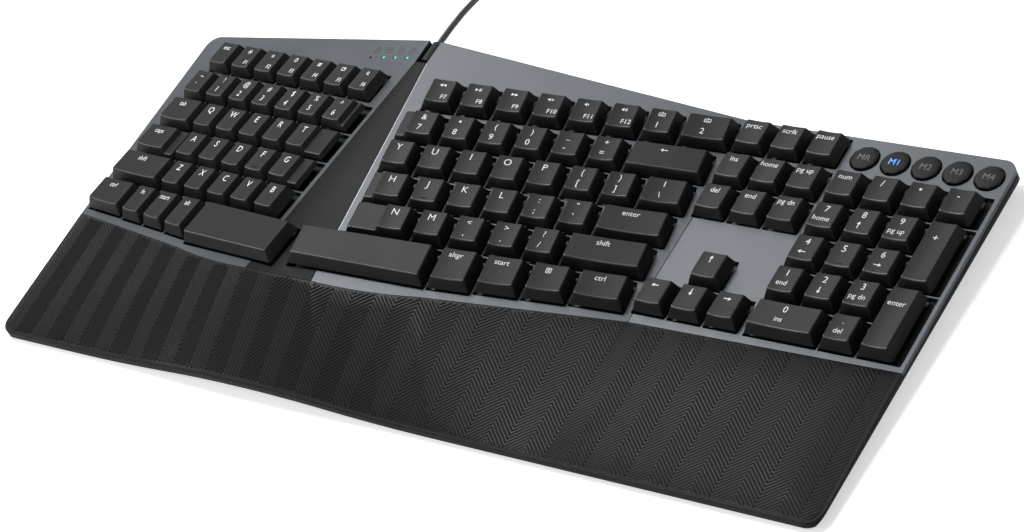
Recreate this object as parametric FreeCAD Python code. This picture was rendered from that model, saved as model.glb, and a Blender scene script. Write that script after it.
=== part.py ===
import FreeCAD, Part
import math
import os
from FreeCAD import Placement, Rotation, Vector

# A full-size ergonomic keyboard in millimetres: +X to the typist's right, +Y to the back, +Z up.
# The deck is modelled flat, with the home row's key tops meeting its XY plane at the middle ridge,
# and is then tilted onto the table. The origin is the middle of the footprint, on the table.
os.makedirs("parts", exist_ok=True)

# Stance of the deck above the table
deck_pitch = 2.2
ridge_height = 41.3
tent_angle = 8.2
foot_gap = 1.0

# Outline of the case
left_edge = -160.5
right_edge = 313.0
back_edge = 58.5
front_edge = -142.0
fold_x = 174.4
back_corner_radius = 7.0
front_corner_radius = 8.0
wall_thickness = 6.0
bottom_wall = 1.6
wall_foot_z = -35.7
wall_foot_slope = 0.0205
undercut_slope = 0.8

# Seam between the deck plates and the palm rest
seam_middle_y = -92.0
seam_crown_half = 20.0
seam_crown_y = -91.2
seam_bend_y = -88.2
seam_bend_half = 48.0
seam_straight_half = 75.0
seam_straight_y = -82.6
seam_left_y = -66.2
seam_fold_y = -63.6
seam_right_y = -61.5
seam_overrun = 5.0
rest_overrun = 0.1

# Front lip of the palm rest and its arch
lip_thickness = 3.4
arch_rise = 4.6
arch_half = 50.0
arch_shoulder_half = 110.0
arch_depth = 4.0
pad_thickness = 2.2
pad_rim = 1.3
rest_shell = 2.0

# Deck plates, measured down from the home row's key tops along each plate's normal
plate_drop = 5.6
plate_thickness = 1.8
seam_gap = 0.25
wedge_back_y = 44.0
wedge_back_half = 3.4
wedge_taper = 0.125

# Key caps
pitch = 19.05
cap_gap = 1.75
cap_skirt_drop = 4.8
cap_side_slope = 2.4
cap_front_slope = 2.6
cap_back_slope = 1.2
cap_wall = 1.2
cap_roof = 1.4
cap_corner = 1.0
dish_depth = 0.45
step_drop = 2.5
key_travel = 2.2
well_gap = 0.45
stem_size = 4.0
stem_end_drop = 5.4

# Switches and boards
board_drop = 8.0
board_thickness = 1.4
board_margin = 7.0
board_split = 5.0
board_ridge_gap = 6.3
housing_size = 9.0
housing_height = 3.8
stem_clearance = 0.4
rib_thickness = 1.6
rib_spacing = 32.0

# Key blocks: half the way from the 6 to the 7, their splay, and each row's rise above the home row
block_half = 27.6
splay_angle = 7.7
function_row_shift = 0.071
numpad_column_x = 66.7
numpad_front_y = -55.0
nav_gap = 0.09
row_rise = {5: 0.3, 4: 0.3, 3: 0.2, 2: 0.0, 1: 0.9, 0: 0.7}
left_well_reach = 15.0
numpad_well_reach = 69.8

# Round buttons and indicator lamps
button_first_x = 240.3
button_spacing = 15.7
button_y = 47.0
button_radius = 6.8
button_flat = 6.5
button_proud = 1.4
button_dome = 60.0
button_gap = 0.4
button_travel = 0.6
button_height = 2.4
button_stop = 0.3
tact_size = 4.5
button_names = ["record_button", "macro_button_1", "macro_button_2", "macro_button_3", "macro_button_4"]
lens_first_x = -35.4
lens_spacing = 8.0
lens_y = 46.4
lens_radius = 0.8
lens_count = 4

# Screws, feet and fold-out legs
boss_points = {"left": [(-150.5, 46.0), (-60.0, 49.0)], "right": [(40.0, 49.0), (100.0, 49.0)],
               "numpad": [(190.0, -11.0), (222.0, -30.0)]}
boss_radius = 2.8
boss_clearance = 0.8
screw_radius = 1.2
screw_length = 6.5
screw_head_radius = 2.4
screw_head_height = 1.3
screw_sink = 0.2
screw_clearance = 0.05
screw_tip_gap = 0.3
screw_seat = 1.2
pillar_wall = 1.4
foot_radius = 5.5
foot_recess = 0.5
foot_xs = [-145.0, 76.0, 297.0]
foot_ys = [-127.0, 30.0]
leg_width = 34.0
leg_length = 22.0
leg_thickness = 3.0
leg_clearance = 0.35
leg_pin_radius = 1.1
leg_pin_reach = 2.0
leg_pin_clearance = 0.1
leg_housing_wall = 1.6
leg_y = 44.0
leg_xs = [-112.0, 254.0]
leg_names = ["left_fold_out_leg", "right_fold_out_leg"]

# Cable, its strain relief and its plug
cable_radius = 1.6
grommet_radius = 2.7
grommet_drop = 9.2
grommet_clearance = 0.1
grommet_length = 12.0
cable_block_side = 4.0
cable_block_depth = 8.0
cable_first_run = 20.0
cable_middle = [(-4.0, 106.0, 27.0)]
cable_last_run = 22.8
coil_entry_x = -14.0
coil_entry_y = 160.0
coil_spacing = 3.75
coil_layer_rise = 3.75
coil_outer_radius = 24.0
coil_steps = 6
coil_layers = 4
coil_extra_turns = 3
coil_bottom = 2.9
strap_width = 9.0
strap_thickness = 0.8
strap_gap = 0.4
plug_axis_height = 4.2
plug_nose_radius = 2.3
plug_nose_length = 14.0
plug_length = 24.0
plug_width = 14.0
plug_thickness = 8.0
shell_length = 18.8
shell_width = 12.0
shell_height = 4.5
shell_wall = 0.4
tongue_thickness = 1.8
tongue_width = 10.8

BIG = 900.0
TALL = 80.0
UP = Vector(0, 0, 1)
BACK = Vector(0, 1, 0)
ACROSS = Vector(1, 0, 0)
tent = math.radians(tent_angle)
tilt = math.radians(deck_pitch)
inner_gap = foot_gap + bottom_wall
deck_parts = {}
table_parts = {}

left_place = Placement(Vector(), Rotation(BACK, -tent_angle))
right_place = Placement(Vector(), Rotation(BACK, tent_angle))
fold_z = -fold_x * math.tan(tent)
numpad_place = Placement(Vector(fold_x, 0, fold_z), Rotation())
side_places = {"left": left_place, "right": right_place, "numpad": numpad_place}
table_place = Placement(Vector(0, 0, ridge_height), Rotation(ACROSS, deck_pitch))


def moved(shape, placement):
    copy = shape.copy()
    copy.Placement = placement.multiply(copy.Placement)
    return copy


def on_deck(shape):
    """A shape of the table's frame, placed in the deck's."""
    return moved(shape, table_place.inverse())


def box(x0, x1, y0, y1, z0, z1):
    return Part.makeBox(x1 - x0, y1 - y0, z1 - z0, Vector(x0, y0, z0))


def post(radius, x, y, z0, z1):
    return Part.makeCylinder(radius, z1 - z0, Vector(x, y, z0))


def half_space(point, outward):
    """A large block on the inner side of a plane, opposite to its outward normal."""
    block = box(-BIG, BIG, -BIG, BIG, -BIG, 0)
    return moved(block, Placement(point, Rotation(UP, outward)))


def deck_z(x, drop):
    """Height of the surface that lies a given drop below the key tops."""
    if x > fold_x:
        return fold_z - drop
    return -abs(x) * math.tan(tent) - drop / math.cos(tent)


def table_z(y):
    """Height of the table under a point of the deck."""
    return -(ridge_height + y * math.sin(tilt)) / math.cos(tilt)


# Seam and front lip, each as the same six stretches from left to right
def seam_points(drop):
    def at(x, y):
        return Vector(x, y, deck_z(x, drop))
    crown = Vector(0, seam_middle_y, deck_z(seam_crown_half, drop) + seam_crown_half * math.tan(tent) / 2)
    fold = Vector(fold_x, seam_fold_y, fold_z - drop)
    left = [at(-seam_straight_half, seam_straight_y), at(-seam_bend_half, seam_bend_y),
            at(-seam_crown_half, seam_crown_y)]
    right = [at(seam_crown_half, seam_crown_y), at(seam_bend_half, seam_bend_y),
             at(seam_straight_half, seam_straight_y)]
    return [[at(left_edge, seam_left_y), left[0]], left, [left[-1], crown, right[0]], right,
            [right[-1], fold], [fold, at(right_edge, seam_right_y)]]


def lip_points():
    low = table_z(front_edge) + foot_gap + lip_thickness
    shoulder = arch_rise * (arch_shoulder_half - arch_half) / arch_shoulder_half
    middle = (arch_half + arch_shoulder_half) / 2

    def at(x, rise):
        return Vector(x, front_edge, low + rise)
    left = [at(-arch_shoulder_half, 0), at(-middle, shoulder / 4), at(-arch_half, shoulder)]
    right = [at(arch_half, shoulder), at(middle, shoulder / 4), at(arch_shoulder_half, 0)]
    return [[at(left_edge, 0), left[0]], left, [left[-1], at(0, arch_rise), right[0]], right,
            [right[-1], at(fold_x, 0)], [at(fold_x, 0), at(right_edge, 0)]]


def edge_of(points):
    if len(points) == 2:
        return Part.LineSegment(*points).toShape()
    return Part.Arc(*points).toShape()


def rest_solid(lower, depth):
    """The palm rest's volume, from its top surface lowered by an amount, down through a depth."""
    pieces = []
    for seam, lip in zip(seam_points(plate_drop), lip_points()):
        behind = [a + (a - b) * rest_overrun for a, b in zip(seam, lip)]
        ahead = [b + (b - a) * rest_overrun for a, b in zip(seam, lip)]
        face = Part.makeRuledSurface(edge_of(behind), edge_of(ahead))
        face.translate(Vector(0, 0, -lower))
        pieces.append(face.extrude(Vector(0, 0, -depth)))
    return pieces[0].fuse(pieces[1:]).removeSplitter().cut(behind_seam(0))


# Plan shapes, as tall prisms
def outline(inset):
    """The case's plan with its four corners rounded, drawn in by an inset."""
    x0, x1, y0, y1 = left_edge + inset, right_edge - inset, front_edge + inset, back_edge - inset
    block = box(x0, x1, y0, y1, -TALL, TALL)
    for x, y, radius in ((x0, y1, back_corner_radius), (x1, y1, back_corner_radius),
                         (x0, y0, front_corner_radius), (x1, y0, front_corner_radius)):
        r = max(radius - inset, 0.5)
        cx = x + (r if x == x0 else -r)
        cy = y + (r if y == y0 else -r)
        corner = box(min(x, cx), max(x, cx), min(y, cy), max(y, cy), -TALL, TALL)
        block = block.cut(corner.cut(post(r, cx, cy, -TALL, TALL)))
    return block


def behind_seam(inset):
    """Everything behind the seam, which is moved back by an inset."""
    edges = [edge_of([Vector(p.x, p.y + inset, -TALL) for p in points]) for points in seam_points(0)]
    start = Vector(left_edge, seam_left_y + inset, -TALL)
    end = Vector(right_edge, seam_right_y + inset, -TALL)
    corners = [end, Vector(BIG, end.y, -TALL), Vector(BIG, BIG, -TALL), Vector(-BIG, BIG, -TALL),
               Vector(-BIG, start.y, -TALL), start]
    edges += [Part.LineSegment(a, b).toShape() for a, b in zip(corners, corners[1:])]
    wire = Part.Wire(Part.__sortEdges__(edges))
    return Part.Face(wire).extrude(Vector(0, 0, 2 * TALL))


def under_deck(drop):
    """All space below the three deck planes, lowered by a drop."""
    roof = box(-BIG, fold_x, -BIG, BIG, -TALL, TALL)
    for place in (left_place, right_place):
        roof = roof.common(moved(box(-BIG, BIG, -BIG, BIG, -BIG, -drop), place))
    return roof.fuse(box(fold_x, BIG, -BIG, BIG, -TALL, fold_z - drop))


def above_table(gap):
    return on_deck(box(-BIG, BIG, -BIG, BIG, gap, BIG))


# Key layout: the cell's left and right in key pitches, its row, how many rows it fills, the part
# that is raised, how far its front reaches forward at its left and right, and a wider well's end
def key(name, x0, x1, row, tall=1, raised=None, reach=(0.0, 0.0), well=None):
    return {"name": name, "x0": x0, "x1": x1, "row": row, "tall": tall,
            "raised": raised or (x0, x1), "reach": reach, "well": well}


def run_of(name, start, count, row):
    """A run of keys one pitch wide."""
    return [key(name, start + i, start + i + 1, row) for i in range(count)]


left_keys = (
    run_of("escape_key", -6.46, 1, 5)
    + run_of("left_function_keys", -5.46, 6, 5)
    + run_of("left_number_keys", -6.5, 6, 4)
    + [key("left_number_keys", -0.5, 0.62, 4, raised=(-0.5, 0.5), well=left_well_reach),
       key("tab_key", -6.53, -5.02, 3)]
    + run_of("left_upper_letter_keys", -5.02, 4, 3)
    + [key("left_upper_letter_keys", -1.02, 0.62, 3, raised=(-1.02, -0.02), well=left_well_reach),
       key("caps_lock_key", -6.53, -4.75, 2, raised=(-6.53, -5.07))]
    + run_of("left_home_letter_keys", -4.75, 4, 2)
    + [key("left_home_letter_keys", -0.75, 0.62, 2, raised=(-0.75, 0.25), well=left_well_reach),
       key("left_shift_key", -6.53, -4.29, 1)]
    + run_of("left_lower_letter_keys", -4.29, 4, 1)
    + [key("left_lower_letter_keys", -0.29, 0.71, 1, well=left_well_reach),
       key("left_modifier_keys", -6.5, -4.88, 0, reach=(0.4, 1.2)),
       key("left_modifier_keys", -4.88, -3.90, 0, reach=(1.7, 2.3)),
       key("left_modifier_keys", -3.90, -2.91, 0, reach=(2.3, 2.9)),
       key("left_modifier_keys", -2.91, -1.92, 0, reach=(3.2, 4.0)),
       key("left_space_bar", -1.92, 1.77, 0, reach=(5.9, 5.2))]
)
right_keys = (
    run_of("right_function_keys", -0.45, 7, 5)
    + [key("right_function_keys", 6.55, 7.98, 5),
       key("right_number_keys", -0.75, 0.5, 4, raised=(-0.5, 0.5))]
    + run_of("right_number_keys", 0.5, 5, 4)
    + [key("backspace_key", 5.5, 7.72, 4)]
    + run_of("right_upper_letter_keys", -0.75, 7, 3)
    + [key("right_upper_letter_keys", 6.25, 7.58, 3),
       key("right_home_letter_keys", -0.75, 0.5, 2, raised=(-0.5, 0.5))]
    + run_of("right_home_letter_keys", 0.5, 5, 2)
    + [key("enter_key", 5.5, 7.45, 2),
       key("right_lower_letter_keys", -0.75, 1.04, 1, raised=(0.04, 1.04))]
    + run_of("right_lower_letter_keys", 1.04, 4, 1)
    + [key("right_shift_key", 5.04, 7.31, 1),
       key("right_space_bar", -1.87, 2.02, 0, reach=(2.9, 4.3)),
       key("right_modifier_keys", 2.02, 3.24, 0, reach=(4.0, 3.4)),
       key("right_modifier_keys", 3.24, 4.475, 0, reach=(2.3, 1.7)),
       key("right_modifier_keys", 4.475, 5.70, 0, reach=(1.2, 0.6)),
       key("right_modifier_keys", 5.70, 7.18, 0)]
)
numpad_keys = (
    run_of("system_keys", -3.5 - nav_gap, 3, 5)
    + run_of("navigation_keys", -3.5 - nav_gap, 3, 4)
    + run_of("navigation_keys", -3.5 - nav_gap, 3, 3)
    + run_of("up_arrow_key", -2.5 - nav_gap, 1, 1)
    + run_of("left_arrow_key", -3.5 - nav_gap, 1, 0)
    + run_of("down_arrow_key", -2.5 - nav_gap, 1, 0)
    + run_of("right_arrow_key", -1.5 - nav_gap, 1, 0)
    + run_of("numpad_small_keys", -0.5, 3, 4)
    + [key("numpad_small_keys", 2.5, 3.5, 4, well=numpad_well_reach)]
    + run_of("numpad_small_keys", -0.5, 3, 3)
    + run_of("numpad_small_keys", -0.5, 3, 2)
    + run_of("numpad_small_keys", -0.5, 3, 1)
    + run_of("numpad_small_keys", 1.5, 1, 0)
    + [key("numpad_zero_key", -0.5, 1.5, 0),
       key("numpad_plus_key", 2.5, 3.5, 2, tall=2, well=numpad_well_reach),
       key("numpad_enter_key", 2.5, 3.5, 0, tall=2, well=numpad_well_reach)]
)
blocks = {"left": left_keys, "right": right_keys, "numpad": numpad_keys}
first_rows = {"left": -4, "right": -4, "numpad": 0}
block_places = {
    "left": left_place.multiply(Placement(Vector(-block_half, 0, 0), Rotation(UP, -splay_angle))),
    "right": right_place.multiply(Placement(Vector(block_half, 0, 0), Rotation(UP, splay_angle))),
    "numpad": numpad_place.multiply(Placement(Vector(numpad_column_x, numpad_front_y, 0), Rotation())),
}
row_middle = pitch / 2 - cap_gap / 2 - cap_front_slope
button_xs = [button_first_x + i * button_spacing for i in range(len(button_names))]
lens_xs = [lens_first_x + i * lens_spacing for i in range(lens_count)]


def cell(side, spec):
    """A key's cell in its block, in millimetres: left, right, front and back."""
    row = spec["row"] + first_rows[side] + (function_row_shift if spec["row"] == 5 else 0.0)
    front = (row - 0.5) * pitch + row_middle
    return spec["x0"] * pitch, spec["x1"] * pitch, front, front + spec["tall"] * pitch


def stem_centre(side, spec):
    x0, x1, y0, y1 = cell(side, spec)
    return sum(spec["raised"]) / 2 * pitch, (y0 + y1 - sum(spec["reach"]) / 2) / 2


def ring(x0, x1, y0, y1, z, reach, corner):
    """A closed wire round a rectangle with a slanted front edge and clipped corners."""
    left, right = reach
    slant = (left - right) / (x1 - x0) * corner
    points = [(x0 + corner, y0 - left + slant), (x1 - corner, y0 - right - slant), (x1, y0 - right + corner),
              (x1, y1 - corner), (x1 - corner, y1), (x0 + corner, y1), (x0, y1 - corner),
              (x0, y0 - left + corner)]
    corners = [Vector(x, y, z) for x, y in points]
    return Part.makePolygon(corners + corners[:1])


def tapered(x0, x1, y0, y1, low, high, reach, share=1.0):
    """A block whose sides slope in by a share of a cap's set-backs on the way to its top."""
    side, front, back = cap_side_slope * share, cap_front_slope * share, cap_back_slope * share
    lower = ring(x0, x1, y0, y1, low, reach, cap_corner)
    upper = ring(x0 + side, x1 - side, y0 + front, y1 - back, high, reach, cap_corner)
    return Part.makeLoft([lower, upper], True, True)


def dish(x0, x1, y0, y1, top):
    """The round hollow that is cut along the top of a cap."""
    width = x1 - x0 - 2 * cap_side_slope
    radius = (width * width / 4 + dish_depth * dish_depth) / (2 * dish_depth)
    start = Vector((x0 + x1) / 2, y0 - pitch, top - dish_depth + radius)
    return Part.makeCylinder(radius, y1 - y0 + 2 * pitch, start, BACK)


def cap(side, spec):
    """A key cap with sloping sides, a dished top, a hollow underside and a stem."""
    x0, x1, y0, y1 = cell(side, spec)
    half = cap_gap / 2
    x0, x1, y0, y1 = x0 + half, x1 - half, y0 + half, y1 - half
    left = spec["raised"][0] * pitch + half
    right = spec["raised"][1] * pitch - half
    top = row_rise[spec["row"]]
    low = -cap_skirt_drop
    reach = spec["reach"]
    w = cap_wall
    outer = tapered(left, right, y0, y1, low, top, reach)
    if "space" not in spec["name"]:
        outer = outer.cut(dish(left, right, y0, y1, top))
    inner = tapered(left + w, right - w, y0 + w, y1 - w, low, top - cap_roof, reach)
    if (left, right) != (x0, x1):
        shelf = top - step_drop
        share = (shelf - low) / (top - low)
        start = x0 if x0 != left else left + cap_side_slope
        end = x1 if x1 != right else right - cap_side_slope
        outer = outer.fuse(tapered(start, end, y0, y1, low, shelf, reach, share))
        inner = inner.fuse(tapered(start + w, end - w, y0 + w, y1 - w, low, shelf - cap_roof, reach, share))
    body = outer.removeSplitter().cut(inner)
    cx, cy = stem_centre(side, spec)
    s = stem_size / 2
    stem = box(cx - s, cx + s, cy - s, cy + s, -stem_end_drop, top - cap_roof + cap_wall / 4)
    return body.fuse(stem).removeSplitter()


def well(side, spec):
    """The opening in the deck that a cap sinks into."""
    x0, x1, y0, y1 = cell(side, spec)
    edge = cap_gap / 2 - well_gap
    front = y0 + edge - (well_gap if spec["row"] == 0 else 0.0)
    low = -plate_drop - 2 * plate_thickness
    wire = ring(x0 + edge, spec["well"] or x1 - edge, front, y1 - edge, low, spec["reach"], well_gap)
    return Part.Face(wire).extrude(Vector(0, 0, 3 * plate_thickness))


def housing(side, spec):
    """The square switch housing on the board, which guides the cap's stem."""
    cx, cy = stem_centre(side, spec)
    h = housing_size / 2
    b = stem_size / 2 + stem_clearance
    outer = box(cx - h, cx + h, cy - h, cy + h, -board_drop, -board_drop + housing_height)
    return outer.cut(box(cx - b, cx + b, cy - b, cy + b, -board_drop, 0))


wells = {}
for side, specs in blocks.items():
    place = block_places[side]
    wells[side] = [moved(well(side, spec), place) for spec in specs]
    deck_parts[side + "_switches"] = [moved(housing(side, spec), place) for spec in specs]
    for spec in specs:
        deck_parts.setdefault(spec["name"], []).append(moved(cap(side, spec), place))


# Deck plates
def half_plan(side):
    """Plan of one half of the deck, beside the slot for the cable and the wedge."""
    sign = -1 if side == "left" else 1
    gap = seam_gap / 2
    front = seam_middle_y - seam_overrun
    front_half = wedge_back_half + (wedge_back_y - front) * wedge_taper
    outer = fold_x - gap if side == "right" else -BIG
    corners = [(sign * (wedge_back_half + gap), BIG), (sign * (wedge_back_half + gap), wedge_back_y),
               (sign * (front_half + gap), front), (outer, front), (outer, BIG)]
    points = [Vector(x, y, -TALL) for x, y in corners]
    return Part.Face(Part.makePolygon(points + points[:1])).extrude(Vector(0, 0, 2 * TALL))


def slab(side, drop, thickness):
    return moved(box(-BIG, BIG, -BIG, BIG, -drop - thickness, -drop), side_places[side])


def deck_plate(side):
    """A plate with its key openings and, down to the case's floor, its hollow screw posts."""
    plate = slab(side, plate_drop, plate_thickness).common(outline(0)).common(behind_seam(seam_gap))
    if side == "numpad":
        plate = plate.common(box(fold_x + seam_gap / 2, BIG, -BIG, BIG, -TALL, TALL))
        plate = plate.cut([post(button_radius + button_gap, x, button_y, -TALL, TALL) for x in button_xs])
    else:
        plate = plate.common(half_plan(side))
    plate = plate.cut(wells[side])
    if side == "right":
        plate = plate.cut(wells["numpad"])
    if side == "left":
        plate = plate.cut([post(lens_radius, x, lens_y, -TALL, TALL) for x in lens_xs])
    for x, y in boss_points[side]:
        low = table_z(y) + inner_gap + screw_seat
        hole_top = table_z(y) + foot_gap + screw_sink + screw_length + screw_tip_gap
        plate = plate.fuse(post(boss_radius, x, y, low, deck_z(x, plate_drop + plate_thickness / 2)))
        plate = plate.cut(post(screw_radius + screw_clearance, x, y, low, hole_top))
    return plate.removeSplitter()


def centre_wedge():
    """The crowned strip between the two halves, cut away where the space bars reach over it."""
    def arc_at(y):
        half = wedge_back_half + (wedge_back_y - y) * wedge_taper - seam_gap / 2
        low = deck_z(half, plate_drop)
        crown = low + half * math.tan(tent) / 2
        return Part.Arc(Vector(-half, y, low), Vector(0, y, crown), Vector(half, y, low)).toShape()
    face = Part.makeRuledSurface(arc_at(seam_middle_y - seam_overrun), arc_at(wedge_back_y))
    body = face.extrude(Vector(0, 0, -plate_thickness)).common(behind_seam(seam_gap))
    reaching = [shape for side in ("left", "right") for shape, spec in zip(wells[side], blocks[side])
                if "space" in spec["name"]]
    return body.cut(reaching).removeSplitter()


for side in blocks:
    deck_parts[side + "_top_plate"] = [deck_plate(side)]
deck_parts["centre_wedge"] = [centre_wedge()]
lamp_rods = Part.makeCompound([post(lens_radius, x, lens_y, -TALL, TALL) for x in lens_xs])
deck_parts["indicator_lenses"] = [lamp_rods.common(slab("left", plate_drop, plate_thickness))]

# Boards under the switches, clear of the posts and of the cable's trough
trough_half = wedge_back_half + cable_block_side
trough_room = box(-trough_half - boss_clearance, trough_half + boss_clearance,
                  wedge_back_y - boss_clearance, BIG, -TALL, TALL)


def board(side):
    block = slab(side, board_drop, board_thickness).common(outline(board_margin))
    block = block.common(behind_seam(board_margin)).cut(trough_room)
    edge = board_split / 2
    limits = {"left": (-BIG, -board_ridge_gap), "right": (board_ridge_gap, fold_x - edge),
              "numpad": (fold_x + edge, BIG)}
    x0, x1 = limits[side]
    block = block.common(box(x0, x1, -BIG, BIG, -TALL, TALL))
    return block.cut([post(boss_radius + boss_clearance, x, y, -TALL, TALL) for x, y in boss_points[side]])


for side in blocks:
    deck_parts[side + "_switch_board"] = [board(side)]

# Round buttons: eight-sided with rounded corners and a slightly domed top, each over a small switch
button_top = fold_z - plate_drop + button_proud
tact_top = button_top - button_height - button_travel - button_stop


def button(x):
    disc = post(button_radius, x, button_y, button_top - button_height, button_top)
    for angle in (0, 45):
        square = box(-button_flat, button_flat, -button_flat, button_flat, -TALL, TALL)
        disc = disc.common(moved(square, Placement(Vector(x, button_y, 0), Rotation(UP, angle))))
    return disc.common(Part.makeSphere(button_dome, Vector(x, button_y, button_top - button_dome)))


for name, x in zip(button_names, button_xs):
    deck_parts[name] = [button(x)]
    t = tact_size / 2
    tact = box(x - t, x + t, button_y - t, button_y + t, fold_z - board_drop, tact_top)
    deck_parts["numpad_switches"].append(tact)

# Case: the tray under the plates and the palm rest's shell
pad = rest_solid(0, pad_thickness).common(outline(pad_rim))
deck_parts["palm_rest_pad"] = [pad]
tray = outline(0).common(behind_seam(0)).common(under_deck(plate_drop + plate_thickness))
rest = rest_solid(0, TALL).common(outline(0))
case = tray.fuse(rest).common(above_table(foot_gap)).cut([pad, deck_parts["centre_wedge"][0]])
arch = box(-arch_shoulder_half, arch_shoulder_half, front_edge - 1, front_edge + arch_depth, -TALL, TALL)
case = case.cut(rest_solid(lip_thickness, TALL).common(arch))
room = outline(wall_thickness).common(above_table(inner_gap))
tray_room = room.common(behind_seam(wall_thickness / 2))
rest_room = rest_solid(pad_thickness + rest_shell, TALL).common(room).cut(behind_seam(-wall_thickness / 2))
case = case.cut(tray_room).cut(rest_room)

# Ribs that carry the boards, inside the same walls
rib_count = int((right_edge - left_edge - 2 * wall_thickness) / rib_spacing)
rib_xs = [left_edge + wall_thickness + rib_spacing * (i + 0.5) for i in range(rib_count)]
half_rib = rib_thickness / 2
ribs = Part.makeCompound([box(x - half_rib, x + half_rib, -BIG, BIG, -TALL, TALL) for x in rib_xs])
rib_room = outline(wall_thickness / 2).common(behind_seam(wall_thickness / 4)).common(above_table(foot_gap))
case = case.fuse(ribs.common(rib_room.common(under_deck(board_drop + board_thickness))))

# Undercut sides and back
foot_line = Vector(0, 1, -wall_foot_slope)
for x, inward in ((right_edge, -1), (left_edge, 1)):
    normal = foot_line.cross(Vector(inward, 0, -undercut_slope))
    case = case.common(half_space(Vector(x, 0, wall_foot_z), normal if normal.z < 0 else normal.negative()))
back_foot_z = wall_foot_z - wall_foot_slope * back_edge
case = case.common(half_space(Vector(0, back_edge, back_foot_z), Vector(0, undercut_slope, -1)))

# Trough for the strain relief, behind the wedge
trough_top = -grommet_drop
trough = box(-trough_half, trough_half, wedge_back_y, back_edge - wall_thickness / 2,
             trough_top - cable_block_depth, trough_top)
bore_start = Vector(0, wedge_back_y, -grommet_drop)
bore = Part.makeCylinder(grommet_radius + grommet_clearance, back_edge, bore_start, BACK)
notch = box(-wedge_back_half, wedge_back_half, wedge_back_y, back_edge + 1, trough_top, 0)
case = case.fuse(trough).cut(bore).cut(notch)
grommet_start = Vector(0, back_edge - grommet_length, -grommet_drop)
deck_parts["cable_grommet"] = [Part.makeCylinder(grommet_radius, grommet_length, grommet_start, BACK)]

# Screws from below, with pillars on the floor for their heads
deck_parts["case_screws"] = []
for points in boss_points.values():
    for x, y in points:
        low = table_z(y) + foot_gap + screw_sink
        head_top = low + screw_head_height
        pillar_top = table_z(y) + inner_gap + screw_seat
        case = case.fuse(post(screw_head_radius + pillar_wall, x, y, low + screw_sink, pillar_top))
        case = case.cut(post(screw_head_radius + screw_clearance, x, y, low - foot_gap, head_top))
        case = case.cut(post(screw_radius + screw_clearance, x, y, low, pillar_top))
        shank = post(screw_radius, x, y, low, low + screw_length)
        deck_parts["case_screws"].append(shank.fuse(post(screw_head_radius, x, y, low, head_top)))

# Fold-out legs, level with the table, in pockets under the back edge
leg_z = foot_gap + leg_clearance + leg_thickness / 2
leg_half = leg_width / 2
half_thick = leg_thickness / 2
pocket_half = leg_half + leg_clearance
pocket_top = leg_z + half_thick + leg_clearance
pocket_front = leg_y - leg_length - leg_clearance
pocket_back = leg_y + half_thick + leg_clearance
for name, x in zip(leg_names, leg_xs):
    wall = leg_housing_wall + leg_pin_reach
    shell = box(x - pocket_half - wall, x + pocket_half + wall, pocket_front - leg_housing_wall,
                pocket_back + leg_housing_wall, foot_gap, pocket_top + leg_housing_wall)
    pocket = box(x - pocket_half, x + pocket_half, pocket_front, pocket_back, 0, pocket_top)
    hole_half = leg_half + leg_pin_reach + leg_pin_clearance
    pin_hole = Part.makeCylinder(leg_pin_radius + leg_pin_clearance, 2 * hole_half,
                                 Vector(x - hole_half, leg_y, leg_z), ACROSS)
    case = case.fuse(on_deck(shell)).cut([on_deck(pocket), on_deck(pin_hole)])
    arm = box(x - leg_half, x + leg_half, leg_y - leg_length, leg_y, leg_z - half_thick, leg_z + half_thick)
    barrel = Part.makeCylinder(half_thick, leg_width, Vector(x - leg_half, leg_y, leg_z), ACROSS)
    pin = Part.makeCylinder(leg_pin_radius, leg_width + 2 * leg_pin_reach,
                            Vector(x - leg_half - leg_pin_reach, leg_y, leg_z), ACROSS)
    table_parts[name] = [arm.fuse([barrel, pin]).removeSplitter()]

# Rubber feet, let into the case's floor
feet = [post(foot_radius, x, y, 0, foot_gap + foot_recess) for x in foot_xs for y in foot_ys]
table_parts["rubber_feet"] = feet
deck_parts["bottom_case"] = [case.cut([on_deck(foot) for foot in feet]).removeSplitter()]


# Cable: straight runs joined by tangent arcs, then a round coil of half turns
def rounded_route(points):
    """A path through the points, each corner an arc of 0.45 of its shorter run; prints the radii."""
    edges = []
    start = points[0]
    length = 0.0
    for before, corner, after in zip(points, points[1:], points[2:]):
        a = (before - corner).normalize()
        b = (after - corner).normalize()
        half_turn = (math.pi - a.getAngle(b)) / 2
        reach = 0.45 * min((corner - before).Length, (after - corner).Length)
        bend = reach / math.tan(half_turn)
        print("bend radius", round(bend, 1), "turn", round(math.degrees(2 * half_turn), 1))
        first, last = corner + a * reach, corner + b * reach
        middle = corner + (a + b).normalize() * (bend / math.cos(half_turn) - bend)
        edges.append(Part.LineSegment(start, first).toShape())
        edges.append(Part.Arc(first, middle, last).toShape())
        length += (first - start).Length + 2 * bend * half_turn
        start = last
    edges.append(Part.LineSegment(start, points[-1]).toShape())
    return edges, length + (points[-1] - start).Length


def tube(edges):
    wire = Part.Wire(edges)
    first = wire.Edges[0]
    start = first.valueAt(first.FirstParameter)
    along = first.tangentAt(first.FirstParameter)
    profile = Part.Wire([Part.Circle(start, along, cable_radius).toShape()])
    return wire.makePipeShell([profile], True, False)


def coil_radii():
    """Each half turn's radius: in and out again through the layers, then outwards to the plug."""
    radii = []
    last = coil_steps * coil_layers
    for i in range(last + coil_extra_turns + 1):
        phase = i % (2 * coil_steps)
        inward = min(phase, 2 * coil_steps - phase) if i <= last else last - i
        radii.append(coil_outer_radius - inward * coil_spacing / 2)
    return radii


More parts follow.
